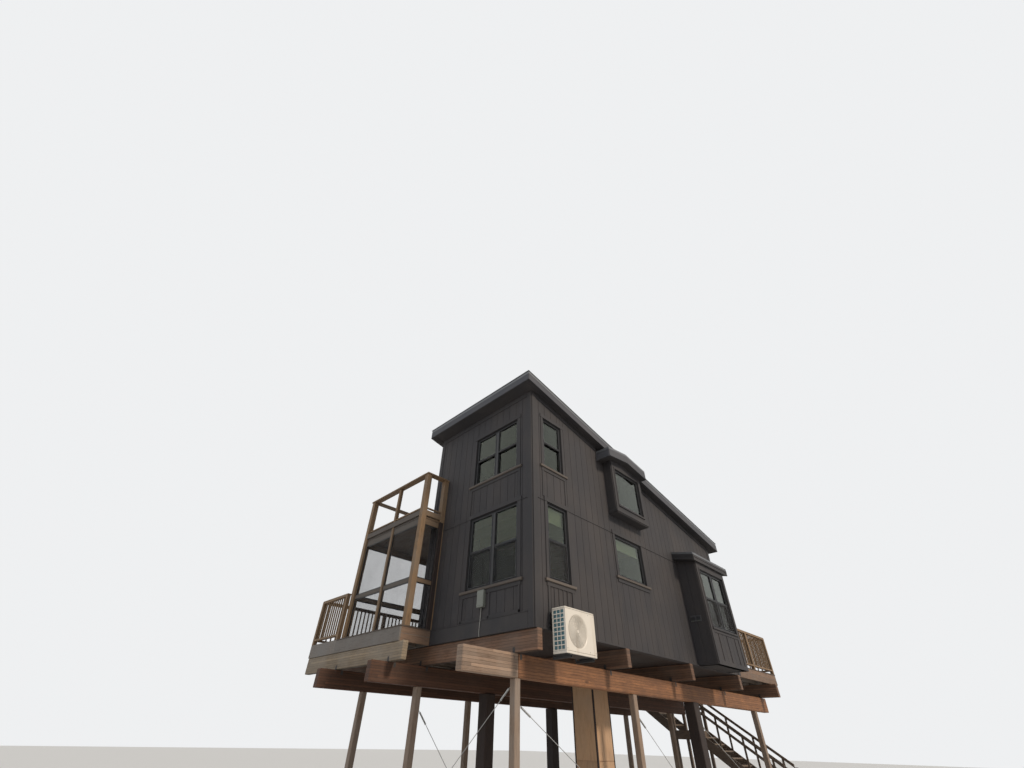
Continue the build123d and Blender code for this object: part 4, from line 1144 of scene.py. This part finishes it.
# Porch
porch = Shape()
band_z = CORNER.z + BAND_FOOT
for low, high in blocks_of("porch_posts"):
    if abs(high.x - CORNER.x) < 0.01 and low.y - CORNER.y < PORCH_Y0 + 0.01:
        porch.block(low, (high.x - 0.034, high.y, band_z - 0.001), 0.006, 1)
        porch.block((high.x - 0.032, low.y, low.z), (high.x, high.y, band_z - 0.001), 0.006)
        low.z = band_z + 0.001
    porch.block(low, high, 0.008)
porch.make("porch_post_timbers", [TAN_Z, POST_DARK], "tan_timber", ("porch_posts",))


def rails(node, name, materials, slot):
    """Chamfered rails of a node, those along x and those along y each with their own grain."""
    shape = Shape()
    for low, high in blocks_of(node):
        shape.block(low, high, 0.005, 0 if high.x - low.x > high.y - low.y else 1)
    shape.make(name, materials, slot, (node,))


rails("porch_rails", "porch_rail_timbers", [TAN_X, BAND_Y], "grey_timber")
rails("porch_header", "porch_header_boards", [TAN_X, BAND_Y], "grey_timber")
rails("upper_deck_rails", "upper_rail_timbers", [TAN_X, TAN_Y], "tan_timber")

stops = Shape()
for low, high in blocks_of("porch_screens"):
    run = X if high.x - low.x > high.y - low.y else Y
    for end in (0, 1):
        for axis in (run, Z):
            a, b = low.copy(), high.copy()
            if end:
                a[axis] = b[axis] - 0.022
            else:
                b[axis] = a[axis] + 0.022
            a[1 - run] -= 0.01
            b[1 - run] += 0.01
            stops.block(a, b, 0.003)
stops.make("screen_stops", BLACK, "window_frame")

deck("upper_deck", "upper_deck_boards",
     [(UPPER_X0 + 0.085, -0.001, PORCH_Y0 + 0.085, PORCH_Y1 - 0.085),
      (0.0, PORCH_X1 - 0.085, WIDTH, PORCH_Y1 - 0.085)], top=UPPER_FLOOR, depth=0.19)
bands = Shape()
for low_z, high_z, back in ((2.752, 2.798, 0.045), (2.802, UPPER_FLOOR, 0.0)):
    front = back + FASCIA
    for x0, x1, y0, y1, slot in (
        (UPPER_X0 + back, UPPER_X0 + front, PORCH_Y0 + PORCH_POST, PORCH_Y1 - PORCH_POST, 1),
        (UPPER_X0 + PORCH_POST, -0.141, PORCH_Y0 + back, PORCH_Y0 + front, 0),
        (UPPER_X0 + PORCH_POST, PORCH_X1 - PORCH_POST, PORCH_Y1 - front, PORCH_Y1 - back, 0),
        (PORCH_X1 - front, PORCH_X1 - back, WIDTH + PORCH_POST, PORCH_Y1 - PORCH_POST, 1),
    ):
        bands.block(at(x0, y0, low_z), at(x1, y1, high_z), 0.005, slot)
bands.make("upper_deck_bands", [TAN_X, BAND_Y], "grey_timber")

ceiling = Shape()
for a, b in parts(UPPER_X0 + 0.05, PORCH_X1 - 0.05, 19, 0.003):
    y0 = PORCH_Y0 + 0.05 if b < 0.0 else WIDTH + 0.002
    ceiling.block(at(a, y0, 2.735), at(b, PORCH_Y1 - 0.05, 2.748), 0.003)
ceiling.make("porch_ceiling", DECK_Y, "grey_timber")

# Railing and stair
CAP = 0.13
CAP_Z = FLOOR + 1.05 + 0.013
caps = Shape()
for xa, ya, xb, yb in (
    (walk_low.x, WALK_Y1 - CAP / 2, walk_high.x, WALK_Y1 - CAP / 2),
    (walk_low.x + CAP / 2, PORCH_Y1, walk_low.x + CAP / 2, WALK_Y1 - CAP - 0.002),
    (walk_high.x - CAP / 2, PORCH_Y1, walk_high.x - CAP / 2, WALK_Y1 - CAP - 0.002),
    (LENGTH + 0.035, end_low.y + CAP / 2, end_high.x, end_low.y + CAP / 2),
    (end_high.x - CAP / 2, end_low.y + CAP + 0.002, end_high.x - CAP / 2, PORCH_Y1),
):
    caps.bar(at(xa, ya, CAP_Z), at(xb, yb, CAP_Z), CAP, 0.026, 0.005)
caps.make("railing_caps", TAN_X, "tan_timber")

treads = Shape()
for low, high in blocks_of("stair_treads"):
    middle = (low.y + high.y) / 2
    treads.block(low, (high.x, middle - 0.004, high.z), 0.006)
    treads.block((low.x, middle + 0.004, low.z), high, 0.006)
    for x in (low.x + 0.002, high.x - 0.032):
        treads.block((x, low.y + 0.03, low.z - 0.04), (x + 0.03, high.y - 0.03, low.z), 0.003)
treads.make("stair_tread_boards", STAIR_X, "brown_post", ("stair_treads",))

rail_posts = Shape()
stringer_low, stringer_high = corners(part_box("stair_stringers"))
rail_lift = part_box("stair_rails")[1][2] - stringer_high.z
down = sorted(blocks_of("stair_treads"), key=lambda box: -box[1].z)
for number in (3, 9, 12, 15):
    low, high = down[number]
    next_low, next_high = down[number + 1]
    rise = (high.z - next_high.z) / (low.y - next_low.y)
    y = low.y + 0.035
    top = high.z + 0.035 * rise + rail_lift - 0.04
    for x in (stringer_low.x + 0.045, stringer_high.x - 0.045):
        rail_posts.block((x - 0.018, y - 0.03, high.z - 0.02), (x + 0.018, y + 0.03, top))
rail_posts.make("stair_rail_posts", STAIR, "brown_post")

# Outdoor unit
FAN = 0.262
unit, coil, dark = Shape(), Shape(), Shape()
unit_low, unit_high = corners(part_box("outdoor_unit"))
x0, y0, z0 = unit_low
x1, y1, z1 = unit_high
foot, head = z0 + 0.065, z1 - 0.03
hub_x, hub_z = x0 + 0.36, (z0 + z1) / 2 + 0.008
coil_y0, coil_y1 = y0 + 0.034, y1 - 0.03
closed_x = x1 - 0.3


def fan_spot(c, s, radius, back):
    """Point at a radius round the fan's hub, behind the front sheet."""
    return hub_x + c * radius, y0 + back, hub_z + s * radius


def front_panel(left, right, count=48):
    """Front sheet with a round opening, joined to its square edge by a fan of faces."""
    points, faces = [], []
    for c, s in circle(count, 0.5):
        half_x = right - hub_x if c > 0 else hub_x - left
        half_z = head - hub_z if s > 0 else hub_z - foot
        reach = min(half_x / abs(c), half_z / abs(s))
        points += [fan_spot(c, s, radius, back) for radius, back in
                   ((reach, 0), (FAN + 0.02, 0), (FAN, 0.012), (FAN * 0.96, 0.05))]
    for i in range(count):
        a, b = 4 * i, 4 * ((i + 1) % count)
        faces += [[a + k, b + k, b + k + 1, a + k + 1] for k in range(3)]
    unit.add(points, faces)
    for x, z in ((left, foot), (right, foot), (right, head), (left, head)):
        near = sorted(points[::4], key=lambda p: (p[0] - x) ** 2 + (p[2] - z) ** 2)[:2]
        unit.add([(x, y0, z), *near], [[0, 1, 2]])


unit.block((x0 + 0.002, y0, head), (x1, y1, z1), 0.01)
unit.block((x0, y0, z0 + 0.02), (x1, y1, foot), 0.008)
front_panel(x0 + 0.004, x1 - 0.004)
unit.block((x1 - 0.016, y0 + 0.001, foot), (x1 - 0.002, y1 - 0.004, head))
unit.block((x0 + 0.004, y0 + 0.001, foot), (x0 + 0.03, coil_y0, head), 0.005)
unit.block((x0 + 0.004, coil_y1, foot), (x0 + 0.03, y1 - 0.002, head), 0.005)
for z in steps(foot + 0.012, head - 0.012, 9):
    unit.block((x0 + 0.004, coil_y0 - 0.002, z - 0.009), (x0 + 0.016, coil_y1 + 0.002, z + 0.009), 0.003)
for y in steps(coil_y0, coil_y1, 3):
    unit.block((x0 + 0.003, y - 0.008, foot), (x0 + 0.014, y + 0.008, head), 0.003)
unit.rod(fan_spot(0, 0, 0, 0.001), fan_spot(0, 0, 0, 0.02), 0.03, 24)
for radius in steps(0.036, FAN, 27)[1:]:
    unit.hoop(fan_spot(0, 0, 0, 0.007), (0, 1, 0), radius - 0.004, 0.0031, 56, 5)
for c, s in circle(16):
    unit.rod(fan_spot(c, s, 0.025, 0.011), fan_spot(c, s, FAN + 0.006, 0.011), 0.0026, 6)
for x, z in ((x0 + 0.03, foot + 0.03), (x1 - 0.03, foot + 0.03), (x1 - 0.03, head - 0.03),
             (x1 - 0.2, foot + 0.03), (x1 - 0.2, head - 0.03)):
    dark.rod((x, y0 + 0.002, z), (x, y0 - 0.003, z), 0.006, 10)
unit.block((x1 - 0.002, y0 + 0.1, z0 + 0.1), (x1 + 0.024, y0 + 0.24, z0 + 0.32), 0.008)
unit.block((x1 - 0.002, y0 + 0.06, z1 - 0.18), (x1 + 0.01, y0 + 0.2, z1 - 0.12), 0.005)
for x in (x0 + 0.1, x1 - 0.1):
    dark.block((x - 0.03, y0, z0), (x + 0.03, y1, z0 + 0.022))
for z in steps(foot + 0.006, head - 0.006, 45):
    coil.block((x0 + 0.02, coil_y0, z - 0.004), (x0 + 0.04, coil_y1, z + 0.004), 0.001)
    coil.block((x0 + 0.04, y1 - 0.028, z - 0.004), (closed_x, y1 - 0.008, z + 0.004), 0.001)
for x in steps(x0 + 0.05, x1 - 0.33, 8):
    unit.block((x - 0.004, y1 - 0.008, foot), (x + 0.004, y1, head), 0.002)
for z in steps(foot + 0.03, head - 0.03, 4):
    unit.block((x0 + 0.03, y1 - 0.006, z - 0.005), (closed_x, y1, z + 0.005), 0.002)
unit.block((closed_x, y1 - 0.012, foot), (x1 - 0.01, y1 - 0.001, head))
dark.block((x0 + 0.045, y0 + 0.06, foot), (x1 - 0.02, y1 - 0.035, head))
# Near-black plate under the unit's base: painted shade on its underside
dark.block((x0 + 0.006, y0 + 0.006, z0 + 0.014), (x1 - 0.006, y1 - 0.006, z0 + 0.024), 0.003)
dark.rod(fan_spot(0, 0, 0, 0.022), fan_spot(0, 0, 0, 0.058), 0.06, 24)
for blade in range(5):
    points = []
    for radius, swing, lift in ((0.05, 0.0, 0.02), (0.14, 0.1, 0.012), (0.235, 0.32, 0.0)):
        for turn, back in ((-0.34, 0.03), (0.34, 0.056)):
            angle = 2 * math.pi * blade / 5 + swing + turn * (1.2 - radius * 1.6)
            points.append(fan_spot(math.cos(angle), math.sin(angle), radius, back + lift * 0.2))
    points += [(x, y + 0.003, z) for x, y, z in points]
    dark.add(points, [[0, 1, 3, 2], [2, 3, 5, 4], [6, 8, 9, 7], [8, 10, 11, 9], [0, 2, 8, 6],
                      [2, 4, 10, 8], [1, 7, 9, 3], [3, 9, 11, 5], [4, 5, 11, 10], [0, 6, 7, 1]])
unit.make("unit_housing", ENAMEL, "unit_white", ("outdoor_unit",))
coil.make("unit_coil", FINS, "galvanised")
dark.make("unit_inside", UNIT_DARK)

# The bracket takes the unit's near-black, not galvanised steel: painted shade under the unit
bracket = Shape()
back = CORNER.y - PROUD
for low, high in blocks_of("unit_bracket"):
    middle = (low.x + high.x) / 2
    bracket.block((low.x, low.y, z0 - 0.04), (high.x, back - 0.004, z0 - 0.034), 0.002)
    for x in (low.x, high.x - 0.004):
        bracket.block((x, low.y, z0 - 0.038), (x + 0.004, back - 0.004, z0), 0.001)
    bracket.block((low.x, back - 0.006, low.z), (high.x, back, high.z), 0.002)
    bracket.bar((middle, back - 0.01, z0 - 0.03), (middle, y0 + 0.06, z0 - 0.036), 0.03, 0.006)
    for z in (low.z + 0.03, low.z + 0.25, high.z - 0.04):
        bracket.rod((middle, back, z), (middle, back - 0.014, z), 0.009, 6)
bracket.make("unit_bracket_arms", UNIT_DARK, "galvanised", ("unit_bracket",))

# Boxes on the walls
meter, louvre, cable = Shape(), Shape(), Shape()
for low, high in blocks_of("wall_boxes"):
    x0, y0, z0 = low
    x1, y1, z1 = high
    if z1 - z0 < 0.2:
        louvre.block((x0 + 0.028, y0, z0), (x1 - 0.01, y1, z1))
        louvre.block((x0 + 0.02, y0 - 0.012, z0 - 0.012), (x0 + 0.03, y1 + 0.012, z1 + 0.012))
        for i in range(5):
            z = z0 + 0.012 + i * 0.024
            louvre.bar((x0 + 0.012, y0 + 0.006, z), (x0 + 0.012, y1 - 0.006, z), 0.026, 0.004, 0.001,
                       0 if i else 1, (-0.6, 0, 0.8))
        continue
    meter.block((x0 + 0.02, y0, z0), high, 0.006)
    meter.block((x0, y0 - 0.004, z0 - 0.004), (x0 + 0.024, y1 + 0.004, z1 + 0.004), 0.006)
    meter.block((x0 - 0.004, y0 + 0.02, z0 + 0.03), (x0 + 0.002, y1 - 0.02, z1 - 0.12), 0.002)
    x, y = x1 - 0.04, (y0 + y1) / 2
    meter.rod((x0 - 0.006, y, z0 + 0.02), (x0 + 0.004, y, z0 + 0.02), 0.008)
    for z in (z0 + 0.05, z1 - 0.05):
        meter.rod((x0 + 0.012, y1 + 0.008, z - 0.02), (x0 + 0.012, y1 + 0.008, z + 0.02), 0.006, 10)
    meter.rod((x, y, z0 + 0.002), (x, y, z0 - 0.03), 0.016)
    path = [Vector((x + dx, y + dy, z)) for dx, dy, z in (
        (0, 0, z0 - 0.02), (-0.002, 0.004, z0 - 0.12), (0.002, 0.012, z0 - 0.24),
        (0, 0.02, z0 - 0.34), (0, 0.022, z0 - 0.46), (0.002, 0.018, CORNER.z))]
    for a, b in zip(path, path[1:]):
        cable.rod(a, b, 0.008, 10)
    for p in path[1:]:
        cable.rod(p - Vector((0, 0, 0.004)), p + Vector((0, 0, 0.004)), 0.0085, 10)
meter.make("meter_box", BOX_GREY, "dark_trim", ("wall_boxes",))
louvre.make("wall_vents", [VENT, BOX_GREY], "dark_trim")
cable.make("meter_conduit", CABLE_SKIN)

# Doors
LEAF = -0.0525
doors, door_trim, handles = Shape(), Shape(), Shape()
for face, (u0, u1, v0, v1) in ((LEFT, PORCH_DOOR), (LEFT, LOFT_DOOR), (REAR, REAR_DOOR)):
    a, b = u0 + 0.1, u1 - 0.1
    face.rects(doors, ((u0, a, v0, v1), (b, u1, v0, v1), (a, b, v1 - 0.11, v1), (a, b, v0, v0 + 0.2),
                       (a, b, v0 + 0.85, v0 + 0.97)), LEAF, LEAF + 0.012)
    a, b = u0 + 0.14, u1 - 0.14
    face.rects(doors, ((a, b, v0 + 0.24, v0 + 0.81), (a, b, v0 + 1.01, v1 - 0.15)), LEAF, LEAF + 0.008, 0.006)
    face.rects(door_trim, ((u0 - 0.09, u0, v0, v1), (u1, u1 + 0.09, v0, v1),
                           (u0 - 0.1, u1 + 0.1, v1, v1 + 0.1)), BEHIND, CASING)
    face.rect(door_trim, u0, u1, v0, v0 + 0.02, -0.05, CASING, 0.004)
    u, v, w = u0 + 0.06, v0 + 1.0, LEAF + 0.01
    handles.rod(face.spot(u, v, w), face.spot(u, v, w + 0.045), 0.011, 16)
    handles.bar(face.spot(u - 0.01, v, w + 0.05), face.spot(u + 0.11, v, w + 0.05), 0.016, 0.02, 0.005)
    handles.rod(face.spot(u, v + 0.12, w), face.spot(u, v + 0.12, w + 0.02), 0.022, 20)
doors.make("door_panels", TRIM, "dark_trim")
door_trim.make("door_casings", TRIM, "dark_trim")
handles.make("door_handles", BOLT, "galvanised")

# Materials of the solids that still show
paint = {
    CHARCOAL: ("front_wall", "right_wall", "left_wall", "rear_wall", "box_bay", "tall_bay"),
    TRIM_LONG: ("roof_panel", "roof_fascia", "box_bay_roof"),
    TRIM: ("doors",),
    ROOFING: ("roof_sheet",),
    BLACK: ("front_windows", "right_windows", "left_windows"),
    GLASS: ("front_glass", "right_glass", "left_glass"),
    INSIDE: ("loft_floor",),
    PLY: ("service_chase",),
    STEEL: ("bracing_cables",),
    TAN_Z: ("deck_railing",),
    SCREEN: ("porch_screens",),
    STAIR: ("stair_stringers", "stair_rails", "stair_landing"),
}
for material, nodes in paint.items():
    for node in nodes:
        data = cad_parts[node].data
        data.materials.clear()
        data.materials.append(material)

# Floor, light, camera
REACH = 90.0
CELLS = 12
ROW = CELLS + 1
places = steps(-REACH, REACH, CELLS)
firsts = [j * ROW + i for j in range(CELLS) for i in range(CELLS)]
ground = bpy.data.meshes.new("ground")
ground.from_pydata([(x, y, 0.0) for y in places for x in places], [],
                   [[k, k + 1, k + ROW + 1, k + ROW] for k in firsts])
ground.materials.append(Shader("studio_floor", (0.6, 0.6, 0.59), 0.9).mat)
ground_piece = bpy.data.objects.new("studio_floor", ground)
bpy.context.scene.collection.objects.link(ground_piece)

world = bpy.data.worlds.new("studio")
bpy.context.scene.world = world
world.use_nodes = True
tree = world.node_tree
tree.nodes.clear()
rays = add_node(tree, "ShaderNodeLightPath").outputs
mirrored = add_node(tree, "ShaderNodeMath", rays["Is Glossy Ray"], rays["Is Transmission Ray"],
                    operation="ADD", use_clamp=True).outputs[0]
seen = add_node(tree, "ShaderNodeMath", rays["Is Camera Ray"], mirrored,
                operation="ADD", use_clamp=True).outputs[0]
soft = add_node(tree, "ShaderNodeBackground", Color=(0.93, 0.96, 1.0, 1), Strength=0.54).outputs[0]
backdrop = add_node(tree, "ShaderNodeBackground", Color=(0.86, 0.87, 0.88, 1), Strength=1.0).outputs[0]
sky = add_node(tree, "ShaderNodeMixShader", seen, soft, backdrop).outputs[0]
add_node(tree, "ShaderNodeOutputWorld", sky)


def sun(name, azimuth, elevation, strength, angle, colour):
    """Soft sun that shines from an azimuth and elevation given in degrees."""
    lamp = bpy.data.lights.new(name, "SUN")
    lamp.energy, lamp.angle, lamp.color = strength, math.radians(angle), colour
    held = bpy.data.objects.new(name, lamp)
    a, e = math.radians(azimuth), math.radians(elevation)
    source = Vector((math.cos(a) * math.cos(e), math.sin(a) * math.cos(e), math.sin(e)))
    held.rotation_euler = source.to_track_quat("Z", "Y").to_euler()
    bpy.context.scene.collection.objects.link(held)


sun("key", -82, 34, 2.2, 9, (1.0, 0.87, 0.72))
sun("fill", 175, 30, 0.3, 40, (0.88, 0.94, 1.0))

YAW, PITCH_UP, ROLL = -44.2697, 39.8145, 1.3422
camera_data = bpy.data.cameras.new("camera")
camera_data.sensor_fit = "HORIZONTAL"
camera_data.sensor_width = 36.0
camera_data.lens = 15.124
camera_data.clip_end = 400.0
camera = bpy.data.objects.new("camera", camera_data)
pose = Matrix.Translation(at(-6.4687, -5.9066, -1.6063))
for angle, axis in ((YAW, "Z"), (90 + PITCH_UP, "X"), (ROLL, "Z")):
    pose = pose @ Matrix.Rotation(math.radians(angle), 4, axis)
camera.matrix_world = pose
bpy.context.scene.collection.objects.link(camera)
bpy.context.scene.camera = camera

bpy.context.scene.view_settings.view_transform = "Standard"
